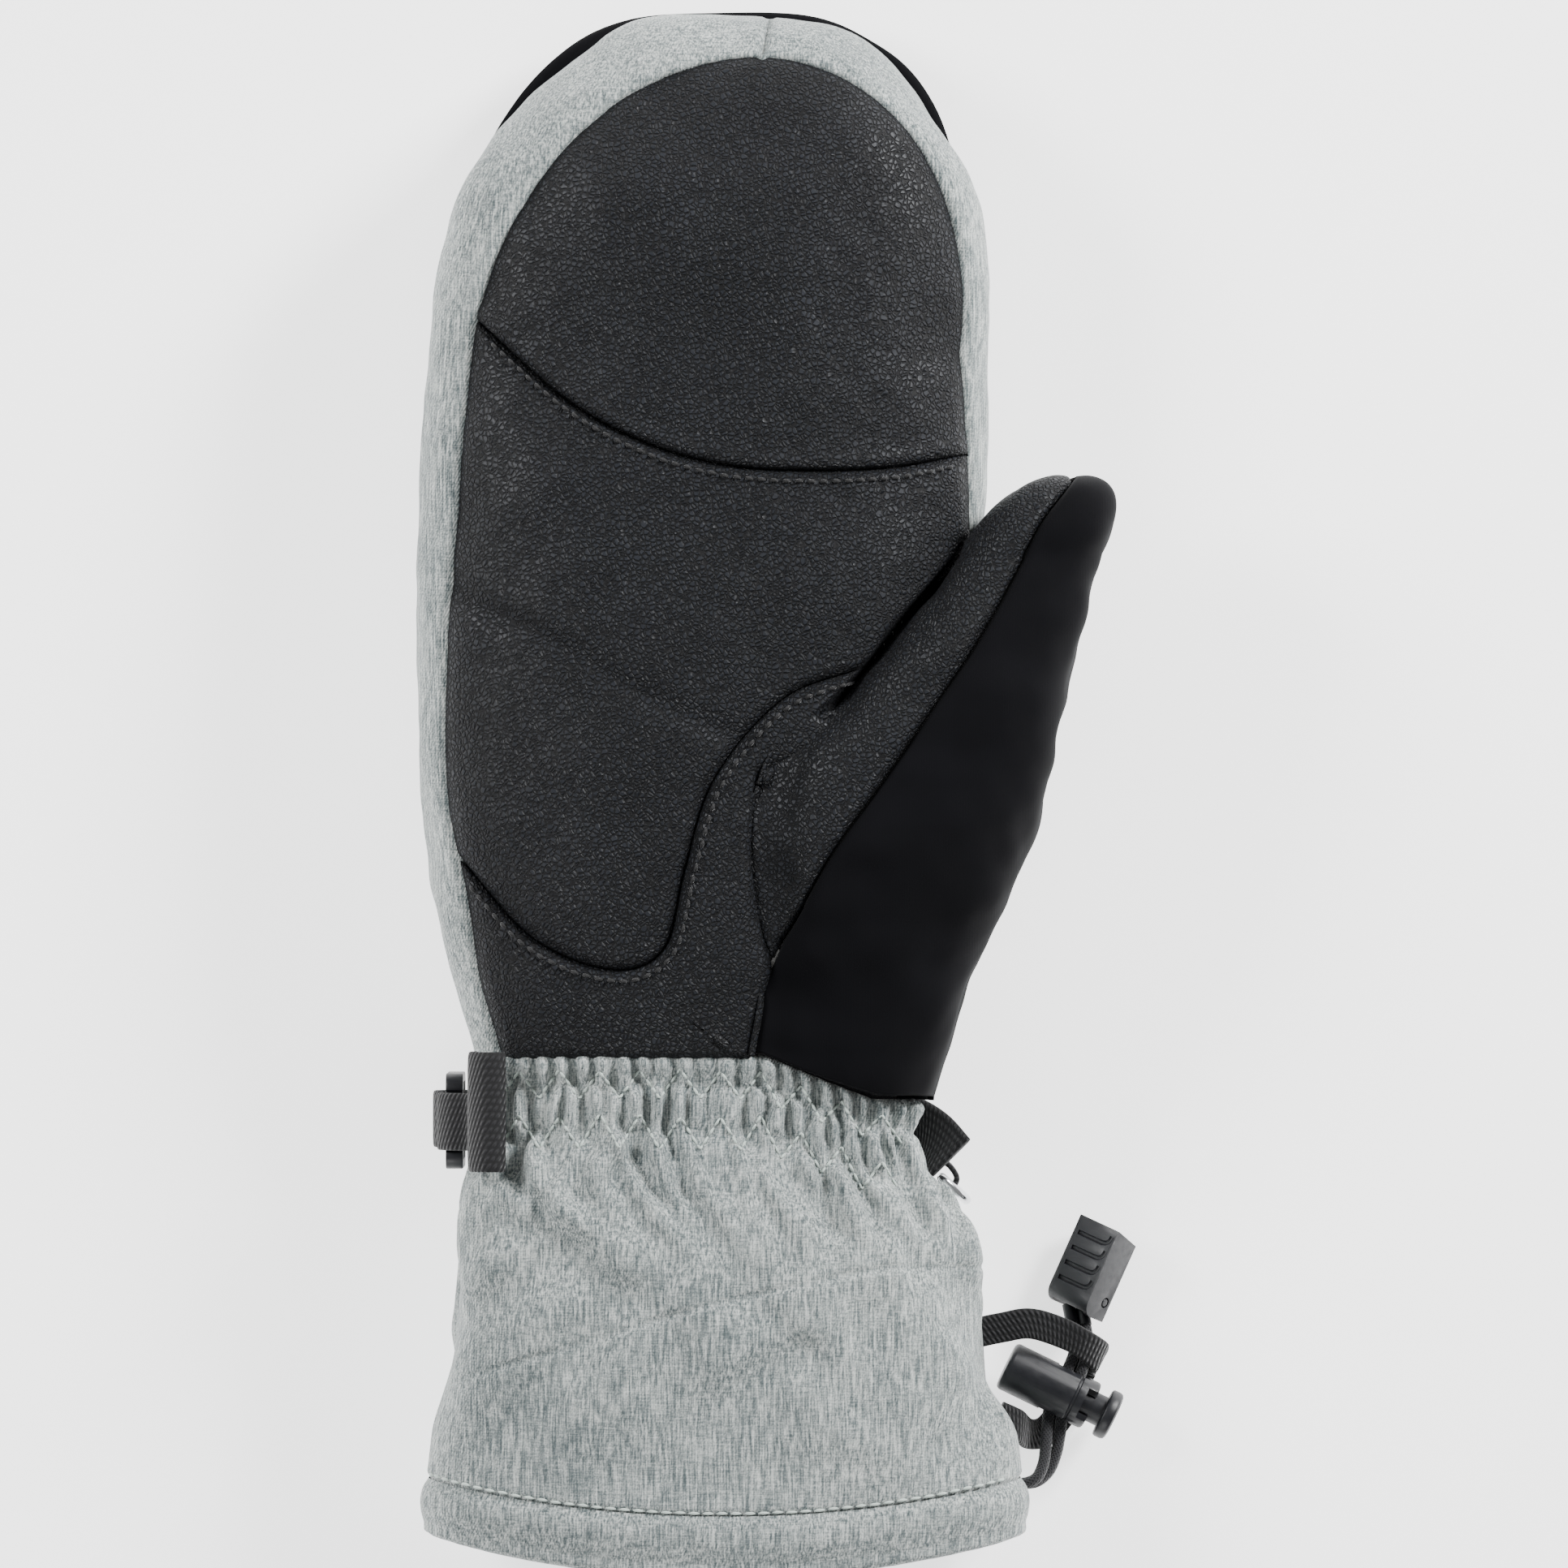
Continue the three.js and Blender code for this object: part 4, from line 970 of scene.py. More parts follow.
def build_gusset():
    places = perimeter(150, 150)
    strip = puffed(side_strip(places, GUSSET_ROWS), HAND_CENTRE, GUSSET_PUFF, 5.0)
    least, varies = DRAWN_IN
    inwards = smoothstep(strip[..., 1], TIP_FROM_Y, 150) * (least + varies * grid_noise(strip, 26.0, 3.0))
    inwards *= np.interp(np.arange(GUSSET_ROWS), *DRAWN_IN_ROWS)[:, None]
    strip[..., 0] -= places[:, 2] * inwards
    strip[..., 1] -= places[:, 3] * inwards
    strip[..., 2] = under_thumb(strip[..., 0], strip[..., 1], strip[..., 2])
    x, y = strip[GUSSET_ROWS // 2, :, 0], strip[GUSSET_ROWS // 2, :, 1]
    split = int(np.argmin(np.abs(x - TIP_SEAM_X) + 1000 * (y < HAND_END)))
    root = int(np.argmax((x > 0) & (y < THUMB_ROOT_Y)))
    left_side = pinch_end(strip[:, :split + 1], last=True)
    right_side = pinch_end(strip[:, split:root + 4], last=False)
    sheet_piece("gusset_little_finger_side", left_side, "grey_twill", "gusset_little_finger_side")
    sheet_piece("gusset_index_side", right_side, "grey_twill", "gusset_index_side")
    sheet_piece("side_below_thumb", wrist_shifted(strip[10:, root:]), "softshell")


def pinch_end(grid, last):
    """Turns one end of a strip in, where it meets the next strip in a seam."""
    steps = np.linalg.norm(np.diff(grid, axis=1), axis=-1)
    along = np.concatenate([np.zeros((grid.shape[0], 1)), np.cumsum(steps, axis=1)], axis=1)
    distance = along[:, -1:] - along if last else along
    towards_back = np.interp(np.arange(grid.shape[0]), *PINCH_ROWS)[:, None]
    drop = edge_roll(distance, 1.8) * 0.8 * towards_back
    return grid - outward(grid, HAND_CENTRE) * drop[..., None]


def wrist_shifted(grid):
    """Moves the end of a grid at the wrist so that it follows the slanted wrist seam."""
    fade = 1 - smoothstep(grid[..., 1], WRIST_Y, -35)
    grid = grid.copy()
    grid[..., 1] += (wrist_seam_y(grid[..., 0]) - WRIST_Y) * fade
    return grid


def build_back():
    places = perimeter(110, 120)
    height = middle_height(places[:, 1])
    edge = reach_for_height(places, 2 * height - GUSSET_LOW)
    rows = []
    # A lip that goes in under the gusset, then the rim, then the back itself
    lip = np.linspace(1, 0, 9)[:-1]
    for part in lip:
        level = np.full(len(places), GUSSET_LOW + BACK_LIP_RISE * part)
        rows.append(np.stack([*reached(places, edge - BACK_LIP * part), level], axis=-1))
    fractions = np.linspace(1, 0, 60) ** 0.8
    for fraction in fractions:
        x, y = reached(places, edge * fraction)
        rows.append(np.stack([x, y, 2 * middle_height(y) - hand_top(x, y)], axis=-1))
    grid = np.array(rows)
    distance = np.concatenate([BACK_LIP * lip[:, None] + 0 * edge, (1 - fractions[:, None]) * edge])
    bulge = BACK_BEAD * np.exp(-((distance - 3) / 4.0) ** 2) + 0.8 * grid_noise(grid, 14.0, 9.0)
    bulge += BACK_PEEK * smoothstep(grid[..., 1], 110, 150) * np.exp(-distance / 7.0)
    outwards = np.stack([places[:, 2], places[:, 3], np.zeros(len(places))], axis=-1)
    grid = grid + outwards * bulge[..., None]
    # The rim is rounded off below the furthest place that it may reach
    room = 4
    beyond = np.maximum(grid[..., 1] - (FURTHEST_Y - room), 0)
    grid[..., 1] += room * np.tanh(beyond / room) - beyond
    grid[..., 2] = np.maximum(grid[..., 2], FLOOR_CLEARANCE)
    # The sheet's thickness goes upwards, into the mitten
    sheet_piece("back_panel", wrist_shifted(grid), "softshell", "back_panel")


# ---------- the thumb ----------

def tube_angles(at_x, middle, half):
    """The angle round a section at which its upper side has a given x."""
    across = np.clip((at_x - middle) / half, -0.98, 0.98)
    return np.arccos(np.sign(across) * np.abs(across) ** (SECTION_POWER / 2))


def signed_power(value, power):
    return np.sign(value) * np.abs(value) ** power


def section_point(at, end, tip, angle, y, inset=0.0):
    middle, half, height, half_height = section(at, end, tip, y)
    half = np.maximum(half - inset, 0.05)
    half_height = np.maximum(half_height - inset, 0.05)
    x = middle + half * signed_power(np.cos(angle), 2 / SECTION_POWER)
    z = height + half_height * signed_power(np.sin(angle), 2 / SECTION_POWER)
    return x, z


THUMB_BOTTOM_SEAM = math.radians(248)
THUMB_SLACK = 1.7                # the fabric lies this far inside the plain surface, apart from its folds
THUMB_CENTRE = (0.03, 0.0, 0.04)
# Each panel's name, whether it is the leather one, its slot, seed and depth of folds
THUMB_PANELS = (
    ("thumb_leather_panel", True, "palm_leather", 21.0, 0.9),
    ("thumb_softshell_panel", False, "softshell", 31.0, 1.2),
)
THUMB_NODES = {
    "thumb_leather_panel": ("thumb_base_inner_panel", "thumb_inner_panel"),
    "thumb_softshell_panel": ("thumb_base_outer_panel", "thumb_outer_panel"),
}


def thumb_rows(count):
    """Values of y from the wrist to the tip, closer together at the tip."""
    length, _, power = THUMB_TIP
    straight = np.linspace(WRIST_Y + 0.5, THUMB_END, count)[:-1]
    turn = np.linspace(0, math.pi / 2, count // 3)
    return np.concatenate([straight, THUMB_END + length * np.sin(turn) ** (2 / power) * 0.9995])


def over_hand(grid):
    """Lays the thumb's fabric on the hand from the fold to where the thumb rises out of it."""
    x, y, z = grid[..., 0], grid[..., 1], grid[..., 2]
    fold = curve_through(THUMB_FOLD, 300)
    fold_x = np.interp(y, fold[:, 1], fold[:, 0])
    tuck = 1.6 * (1 - smoothstep(x - fold_x, -1.0, 3.0))
    hand = hand_top(x, y) - tuck
    upper = z > section(*THUMB_SHAPE, y)[2] - 1
    fade = smoothstep(-y, -24, -12) * upper
    blend = np.clip(0.5 + (hand - z) / 8.0, 0, 1)
    joined = z + (hand - z) * blend + 2.0 * blend * (1 - blend)
    grid = grid.copy()
    grid[..., 2] = z + (joined - z) * fade
    return grid


def thumb_patch(leather, columns=90, rows=150):
    seam = curve_through(THUMB_SEAM, 400)
    grid = []
    for y0 in thumb_rows(rows):
        middle, half, _, _ = section(*THUMB_SHAPE, np.array(y0))
        top = float(tube_angles(np.interp(y0, seam[:, 1], seam[:, 0]), middle, half))
        end = THUMB_BOTTOM_SEAM if leather else THUMB_BOTTOM_SEAM - 2 * math.pi
        angles = np.linspace(top, end, columns)
        y = np.full(columns, y0)
        x, z = section_point(*THUMB_SHAPE, angles, y)
        grid.append(np.stack([x, y, z], axis=-1))
    return over_hand(wrist_shifted(np.array(grid).transpose(1, 0, 2)))


def thumb_normals(grid):
    """Outward normals of the thumb's tube."""
    middle, _, height, _ = section(*THUMB_SHAPE, grid[..., 1])
    normal = normals_of(grid)
    away = np.stack([grid[..., 0] - middle, grid[..., 1] * 0, grid[..., 2] - height], axis=-1)
    away[..., 1] = smoothstep(grid[..., 1], THUMB_END, THUMB_END + 15) * 12
    return facing(normal, away)


def thumb_relief(grid, seed, folds):
    distance = edge_distance(grid)
    relief = 0.9 * (1 - np.exp(-distance / 5.0)) - edge_roll(distance, 1.9) - THUMB_SLACK
    wrinkle = folds * grid_noise(grid, 17.0, seed) + 0.4 * grid_noise(grid, 7.0, seed + 2)
    tall = grid * np.array([1.0, 2.4, 1.0])
    wrinkle += 0.9 * folds * grid_noise(tall, 22.0, seed + 5)
    return grid + thumb_normals(grid) * (relief + wrinkle * smoothstep(distance, 0, 4))[..., None]


def hide_inside_hand(piece, depth=3.2):
    """Removes the part of the thumb's fabric that would lie inside the hand."""
    mesh = bmesh.new()
    mesh.from_mesh(piece.data)
    places = np.array([vertex.co for vertex in mesh.verts]) / MM
    x, y, z = places[:, 0] - ORIGIN_SHIFT, places[:, 1], places[:, 2]
    middle, half, _, _ = section(*HAND_SHAPE, y)
    inside = (np.abs(x - middle) < half - depth) & (z < under_thumb(x, y, hand_top(x, y)) - depth)
    inside &= past_bend(x, y) < 0.5
    hidden = [vertex for vertex, gone in zip(mesh.verts, inside) if gone]
    bmesh.ops.delete(mesh, geom=hidden, context="VERTS")
    mesh.to_mesh(piece.data)
    mesh.free()


def build_thumb():
    start, end = [((x + ORIGIN_SHIFT) * MM, y * MM, BLEND_HEIGHT * MM) for x, y in (BLEND_START, BLEND_END)]
    for name, leather, slot, seed, folds in THUMB_PANELS:
        piece = grid_piece(name, thumb_relief(thumb_patch(leather), seed, folds))
        fix_normals(piece, THUMB_CENTRE)
        hide_inside_hand(piece)
        thicken(piece, FABRIC)
        piece.data.materials.clear()
        piece.data.materials.append(MATERIALS[slot])
        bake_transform(piece)
        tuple(start)
        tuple(end)
        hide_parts(*THUMB_NODES[name])


# ---------- the cuff ----------

HEM_TOP = -152
HEM_END = -163.6
HEM_DEPTH = 6
ELASTIC_ROWS = (-6.0, -16.0)     # below the wrist seam
PLEAT_PITCH = 4.2
SLANTED_SEAM = [
    (-66, -124.6), (-40.8, -117), (-15.3, -109.3), (10.2, -103.4), (27.2, -100.3), (46, -100.8),
]
CUFF_COLUMNS = 440
CUFF_CENTRE = (-7.0, 0, 22.0)
HEM_CENTRE = (-7.6, 0, 22.0)
LINING_DEPTH = 4.9
ELASTIC_DEPTH = 3.9
WRIST_BANDS = ((-72, -66), (-83, -77))
HEM_CORD_Y = -157
HEM_CORD_DEPTH = 3
ZIGZAG_ROWS = (("elastic_zigzag_upper", -3.2, -9.0), ("elastic_zigzag_lower", -12.6, -19.6))
# The pleats' two rows: where they start and end below the wrist seam, and how deep they are
PLEAT_ROWS = ((0.5, 10.5, 1.5), (6.5, 18, 1.9))
PLEATS = 84
FOLDS_BELOW = 62
BROAD_FOLDS = 22


def cuff_point(angle, y, inset=0.0):
    left, right, low, high, curl = cuff_at(y)
    across = signed_power(np.cos(angle), 2 / SECTION_POWER)
    x = (left + right) / 2 + ((right - left) / 2 - inset) * across
    z = (low + high) / 2 + ((high - low) / 2 - inset) * signed_power(np.sin(angle), 2 / SECTION_POWER)
    return np.stack([x, y + curl * across ** 2, np.maximum(z, inset)], axis=-1)


def cuff_grid(levels, angles, inset=0.0):
    """Rows of points round the cuff. A level is a fraction from the wrist seam, 0, to the hem's end, 1."""
    grid = []
    for level in levels:
        x = cuff_point(angles, np.full(len(angles), -60.0))[:, 0]
        top = wrist_seam_y(x)
        y = top + (HEM_END - top) * level
        grid.append(cuff_point(angles, y, inset))
    return np.array(grid)


def cuff_across(grid, x_left, x_right):
    """How far across the cuff each point is, from -1 to 1."""
    return np.clip((grid[..., 0] - (x_left + x_right) / 2) / ((x_right - x_left) / 2), -1, 1)


def cuff_normals(grid):
    away = grid - np.array(CUFF_CENTRE)
    away[..., 1] = 0
    return facing(normals_of(grid), away)


def ridged(grid, stretch, seed):
    """Noise with sharp ridges, up to 1, whose lumps are as long as the stretch along each axis."""
    return 1 - 2.2 * np.abs(grid_noise(grid, 1.0, seed, stretch))


def fold_strokes():
    """The cuff's folds: where each runs, as distances round the cuff and below the seam, and its size."""
    chance = random.Random(23)
    strokes = []
    for row, (start, end, depth) in enumerate(PLEAT_ROWS):
        for number in range(PLEATS):
            at = (number + 0.5 * row) * PLEAT_PITCH + chance.uniform(-0.7, 0.7)
            lean = chance.uniform(-1.3, 1.3)
            width = chance.uniform(0.8, 1.25)
            to = end + chance.uniform(-1, 2)
            strokes.append((at, start, at + lean, to, width, depth * chance.uniform(0.6, 1.1)))
    for number in range(FOLDS_BELOW):
        at = number * 5.3 + chance.uniform(-2, 2)
        length = chance.uniform(8, 30)
        lean = chance.uniform(-0.75, 0.55) * length
        strokes.append((at, 15, at + lean, 17 + length, chance.uniform(1.1, 2.1), chance.uniform(1.2, 2.4)))
    for number in range(BROAD_FOLDS):
        at = number * 15 + chance.uniform(-6, 6)
        start = chance.uniform(30, 60)
        length = chance.uniform(20, 42)
        lean = chance.uniform(-0.9, 0.9) * length
        width = chance.uniform(3.0, 5.0)
        strokes.append((at, start, at + lean, start + length, width, chance.uniform(0.9, 1.7)))
    return strokes


def folded(around, below, total):
    """The height of the folds: each is a valley with a soft ridge beside it."""
    relief = np.zeros(around.shape)
    for from_around, from_below, to_around, to_below, width, depth in fold_strokes():
        run = to_below - from_below
        t = np.clip((below - from_below) / run, -0.4, 1.4)
        middle = from_around + (to_around - from_around) * t
        across = (around - middle + total / 2) % total - total / 2
        girth = width * (1 + 0.7 * np.clip(t, 0, 1))
        strength = smoothstep(t, -0.12, 0.18) * (1 - smoothstep(t, 0.45, 1.12))
        valley_part = np.exp(-(across / girth) ** 2)
        ridge_part = np.exp(-((np.abs(across) - 2.0 * girth) / (1.1 * girth)) ** 2)
        relief += depth * strength * (0.42 * ridge_part - valley_part)
    return relief


def around_cuff(grid):
    """How far round the cuff each point is, measured at the wrist where the pleats start, and the whole."""
    turns = np.linspace(0, 2 * math.pi, 721)
    lengths = lengths_along(cuff_point(turns, np.full(len(turns), -70.0)))
    left, right, low, high, _ = cuff_at(grid[..., 1])
    across = cuff_across(grid, left, right)
    angle = np.arccos(np.sign(across) * np.abs(across) ** (SECTION_POWER / 2))
    angle = np.where(grid[..., 2] < (low + high) / 2, 2 * math.pi - angle, angle)
    return np.interp(angle, turns, lengths), lengths[-1]


def cuff_relief(grid):
    """Puckers at the elastic, folds below them, and the valleys of the seams."""
    below = wrist_seam_y(grid[..., 0]) - grid[..., 1]
    around, total = around_cuff(grid)
    relief = folded(around, below, total)
    relief += 2.2 * grid_noise(grid, 26.0, 6.0, (1, 1.6, 1)) * smoothstep(below, 20, 55)
    relief += 0.35 * grid_noise(grid, 8.0, 40.0)
    for row in ELASTIC_ROWS:
        relief -= 1.0 * np.exp(-((below + row) / 2.4) ** 2)
    relief -= edge_roll(below, 2.0)
    upper = grid[..., 2] > 20
    seam_line = flat3(curve_through(SLANTED_SEAM, 400))
    relief += valley(flat3(grid[..., :2]), seam_line, 0.6, 0.8).reshape(relief.shape) * upper
    return np.where(relief < 0, 2.4 * np.tanh(relief / 2.4), 2.2 * np.tanh(relief / 2.2))


def hem_level(grid):
    """How far each point is below the curved line where the hem starts, in millimetres."""
    left, right, _, _, curl = cuff_at(np.full(grid.shape[:2], float(HEM_TOP)))
    return HEM_TOP + curl * cuff_across(grid, left, right) ** 2 - grid[..., 1]


def build_cuff():
    half = CUFF_COLUMNS // 2
    seam_level = (HEM_TOP - WRIST_Y) / (HEM_END - WRIST_Y)
    levels = np.linspace(0, seam_level + 0.014, 190)
    parts = (("cuff_palm_panel", 0, math.pi), ("cuff_back_panel", math.pi, 2 * math.pi))
    for name, start, end in parts:
        grid = cuff_grid(levels, np.linspace(start, end, half))
        relief = cuff_relief(grid) * smoothstep(-hem_level(grid), -2, 13)
        # The side seams and the seam above the hem are pulled in
        for edge in (0, -1):
            gap = np.linalg.norm(grid - grid[:, edge][:, None], axis=-1)
            relief -= 0.6 * np.exp(-(gap / 1.2) ** 2)
        relief -= 0.9 * smoothstep(hem_level(grid), -1.5, 0.2)
        grid = grid + cuff_normals(grid) * relief[..., None]
        grid[..., 2] = np.maximum(grid[..., 2], FLOOR_CLEARANCE)
        sheet_piece(name, grid, "grey_twill", name)
    build_hem()
    build_cuff_inside()
    build_cuff_stitching()


def build_hem():
    """The hem is one closed band: outside, round the end, and back along the inside."""
    angles = round_corners(CUFF_COLUMNS)

    def ring(y, inset):
        return cuff_point(angles, np.full(CUFF_COLUMNS, y), inset)

    rows = []
    for t in np.linspace(0, 1, 28):
        bulge = 1.0 * math.sin(math.pi * min(1, t * 1.15)) - 0.5 * math.exp(-(t / 0.12) ** 2)
        rows.append(ring(HEM_TOP + (HEM_END - HEM_TOP) * t, -bulge))
    for turn in np.linspace(0, math.pi, 12)[1:-1]:
        rows.append(ring(HEM_END - 1.6 * math.sin(turn), HEM_DEPTH / 2 * (1 - math.cos(turn))))
    for y in np.linspace(HEM_END, HEM_TOP, 14):
        rows.append(ring(y, HEM_DEPTH))
    grid = np.array(rows)
    waves = 0.4 * ridged(grid, (4.5, 14.0, 5.0), 17.0) + 0.9 * grid_noise(grid, 26.0, 6.0)
    steps = np.arange(len(rows))[:, None]
    fade = smoothstep(np.minimum(steps / 14, (len(rows) - 1 - steps) / 20), 0, 1)
    away = grid - np.array(HEM_CENTRE)
    away[..., 1] = 0
    away /= np.linalg.norm(away, axis=-1, keepdims=True)
    grid = grid + away * (waves * fade)[..., None]
    grid[..., 2] = np.maximum(grid[..., 2], FLOOR_CLEARANCE)
    piece = grid_piece("hem", grid, wrap=True)
    fix_normals(piece, (-0.01, -0.158, 0.022))
    finish_piece(piece, "grey_twill", HAND, "hem_channel")


def cuff_loop(ys, depth, columns=200):
    """A grid of points all round the cuff, at a depth below its surface."""
    return np.array([cuff_point(round_corners(columns), np.full(columns, float(y)), depth) for y in ys])


def loop_sheet(name, grid, relief, slot, thickness):
    """A fine closed loop of fabric round the inside of the cuff."""
    piece = grid_piece(name, grid + cuff_normals(grid) * relief[..., None], wrap=True)
    fix_normals(piece)
    thicken(piece, thickness)
    return finish_piece(piece, slot, HAND, name)


def build_cuff_inside():
    lining = cuff_loop(np.linspace(WRIST_Y - 1, HEM_TOP, 70), LINING_DEPTH)
    loop_sheet("cuff_lining", lining, 0.5 * grid_noise(lining, 12.0, 3.0) - 0.2, "fleece", 0.8)
    for number, (low, high) in enumerate(WRIST_BANDS, start=1):
        band = cuff_loop(np.linspace(high, low, 8), ELASTIC_DEPTH)
        gathers = 0.25 * ridged(band, (3.0, 30.0, 3.0), 5.0)
        loop_sheet(f"wrist_elastic_{number}", band, gathers, "elastic", 0.5)
    route = []
    for angle in np.linspace(-0.12, 2 * math.pi - 0.42, 90):
        x, y, z = cuff_point(np.array([angle]), np.array([HEM_CORD_Y - 3.0]), HEM_CORD_DEPTH)[0]
        route.append((x, y + 3, max(z, HEM_CORD_DEPTH)))
    cord = tube_piece("hem_drawcord", route, CORD_DIAMETER / 2, 160)
    finish_piece(cord, "cord", HAND, "hem_drawcord")


def cuff_surface(plan, above):
    return surface_heights(plan, ["cuff_palm_panel", "hem"], above)


def build_cuff_stitching():
    for name, high, low in ZIGZAG_ROWS:
        plan = []
        for number, x in enumerate(np.arange(-55, 31, PLEAT_PITCH)):
            y = wrist_seam_y(x) + (high if number % 2 else low) + 0.7 * (random.random() - 0.5)
            plan.append((x, y))
        points = cuff_surface(resample(np.array(plan), 500), 0.18)
        stitch_on_surface(name, points, 2.3, 1.9, 0.3, "mint_thread", "grey_twill")
    line = []
    left, right, _, _, curl = cuff_at(np.array(-150.0))
    for x in np.linspace(-70, 51, 240):
        across = (x - (left + right) / 2) / ((right - left) / 2)
        line.append((x, HEM_TOP + 0.6 + curl * min(1, abs(across)) ** 2 * 1.12))
    points = cuff_surface(line, 0.12)
    stitch_on_surface("hem_topstitch", points, 2.9, 2.3, 0.34, "mint_thread", "grey_twill")


# ---------- layers inside ----------

LAYER_COLUMNS = 120
LAYERS_CENTRE = (-8, 40, 24)
TIP_SLACK = 6.0                  # the layers inside end further from the surface at the fingertips
THUMB_LAYERS_FROM = 16
# Each layer's name and slot, its depth, how far it stays from the tip, and its thickness
HAND_LAYERS = (("insulation_hand", "wadding", 3.4, 9.0, 1.4), ("liner_hand", "fleece", 5.4, 11.0, 1.0))
THUMB_LAYERS = (("insulation_thumb", "wadding", 5.2, 5.2, 1.2), ("liner_thumb", "fleece", 6.6, 6.6, 1.0))

def body_layer(name, shape, ys, inset, thickness, slot, body):
    """A smooth shell of the hand or the thumb, at a depth below the surface."""
    angles = round_corners(LAYER_COLUMNS)
    grid = []
    for y in ys:
        slack = TIP_SLACK * float(smoothstep(y, 112, 150))
        row_y = np.full(LAYER_COLUMNS, y)
        x, z = section_point(*shape, angles, row_y, inset + slack)
        grid.append(np.stack([x, row_y, np.maximum(z, inset)], axis=-1))
    grid = np.array(grid)
    relief = 0.4 * grid_noise(grid, 14.0, 2.0) - 0.3
    away = grid - np.array(LAYERS_CENTRE)
    away[..., 1] = 0
    away /= np.maximum(np.linalg.norm(away, axis=-1, keepdims=True), NARROW)
    grid = grid + away * relief[..., None]
    if body == HAND:
        deeper = inset + 1.5
        pressed = under_thumb(grid[..., 0], grid[..., 1], grid[..., 2] + deeper) - deeper
        grid[..., 2] = np.where(grid[..., 2] > 30, np.minimum(grid[..., 2], pressed), grid[..., 2])
    piece = grid_piece(name, grid, wrap=True)
    fix_normals(piece)
    thicken(piece, thickness)
    return finish_piece(piece, slot, body, name)


def tip_ys(start, end, tip, inset, count):
    length, _, power = tip
    turn = np.linspace(0, math.pi / 2, count // 2)
    tip_part = end + (length - inset) * np.sin(turn) ** (2 / power) * 0.998
    return np.concatenate([np.linspace(start, end, count)[:-1], tip_part])


def build_layers():
    hand_set = (HAND_LAYERS, HAND_SHAPE, WRIST_Y, 60, HAND)
    thumb_set = (THUMB_LAYERS, THUMB_SHAPE, THUMB_LAYERS_FROM, 40, THUMB)
    for layers, shape, start, count, body in (hand_set, thumb_set):
        _, end, tip = shape
        for name, slot, depth, short, thickness in layers:
            ys = tip_ys(start, end, tip, short, count)
            piece = body_layer(name, shape, ys, depth, thickness, slot, body)


# ---------- cords, webbing and turned parts ----------

LOCK_LOOP_WIDTH = 6.4
LOOP_THICKNESS = 1.3
STRAP_WIDTH = 12
STRAP_THICKNESS = 1.2
SIDE_LOOP_WIDTH = 25
SIDE_LOOP_Y = -68

def tube_points(route, radius, steps, sides=16):
    """A tube round a smooth route, with the turn of its sides carried along without twisting."""
    line = curve_through(route, steps)
    tangents = np.gradient(line, axis=0)
    tangents /= np.linalg.norm(tangents, axis=1)[:, None]
    side = np.cross(tangents[0], (0.13, 0.27, 0.95))
    points, uvs = [], []
    length = 0.0
    for number, (place, tangent) in enumerate(zip(line, tangents)):
        if number:
            length += float(np.linalg.norm(place - line[number - 1]))
        side = side - tangent * side.dot(tangent)
        side /= np.linalg.norm(side)
        up = np.cross(tangent, side)
        for corner in range(sides + 1):
            angle = 2 * math.pi * corner / sides
            points.append(place + radius * (side * math.cos(angle) + up * math.sin(angle)))
            uvs.append((angle * radius, length))
    return line, points, uvs


def tube_piece(name, route, radius, steps, sides=16):
    _, points, uvs = tube_points(route, radius, steps, sides)
    return mesh_object(name, points, closed_tube_faces(steps, sides + 1), uvs=uvs)


STRAND_ROUTES = {
    "drawcord_strand_a": [
        (54.6, -147, 15.6), (57.4, -145.8, 15.2), (58.9, -143, 13.6), (59.5, -139.5, 11.5),
        (59.9, -135, 9.6), (60.4, -131, 9.2), (62.1, -127.5, 9.2), (64, -123.6, 9.2),
        (65.6, -119.4, 9), (65.6, -115.6, 7.8), (65, -112.4, 6.8),
    ],
    "drawcord_strand_b": [
        (54.6, -147, 12.4), (57.6, -146.6, 11.8), (60.2, -144.4, 10.8), (61.8, -140.6, 9.6),
        (62.6, -136.4, 9.2), (63.1, -132.3, 9.2), (64.8, -128.6, 9.2), (66.6, -124.8, 9.2),
        (68.2, -120.4, 9), (68.3, -116.2, 7.8), (67.8, -113.2, 6.8),
    ],
}
CORD_DIAMETER = 2.5
CORD_STEPS = 90
SLEEVE_SPAN = (-0.8, 3.0)         # from before a cord's end to beyond it
SLEEVE_RADIUS = 1.45


def build_strands():
    for name, route in STRAND_ROUTES.items():
        strand = tube_piece(name, route, CORD_DIAMETER / 2, CORD_STEPS)
        finish_piece(strand, "cord", HAND, name)
        line = resample(curve_through(route, CORD_STEPS), 24)
        path = [((x + ORIGIN_SHIFT) * MM, y * MM, z * MM) for x, y, z in line]
        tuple(path[0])


def build_clip_sleeves():
    """The short moulded sleeves by which the cord's ends go into the clip."""
    for name, route in STRAND_ROUTES.items():
        before, end = np.array(route[-2], float), np.array(route[-1], float)
        along = (end - before) / np.linalg.norm(end - before)
        line = [tuple(end + along * distance) for distance in np.linspace(*SLEEVE_SPAN, 6)]
        sleeve = tube_piece(name.replace("drawcord_strand", "cord_clip_sleeve"), line, SLEEVE_RADIUS, 24)
        finish_piece(sleeve, "plastic", HAND)


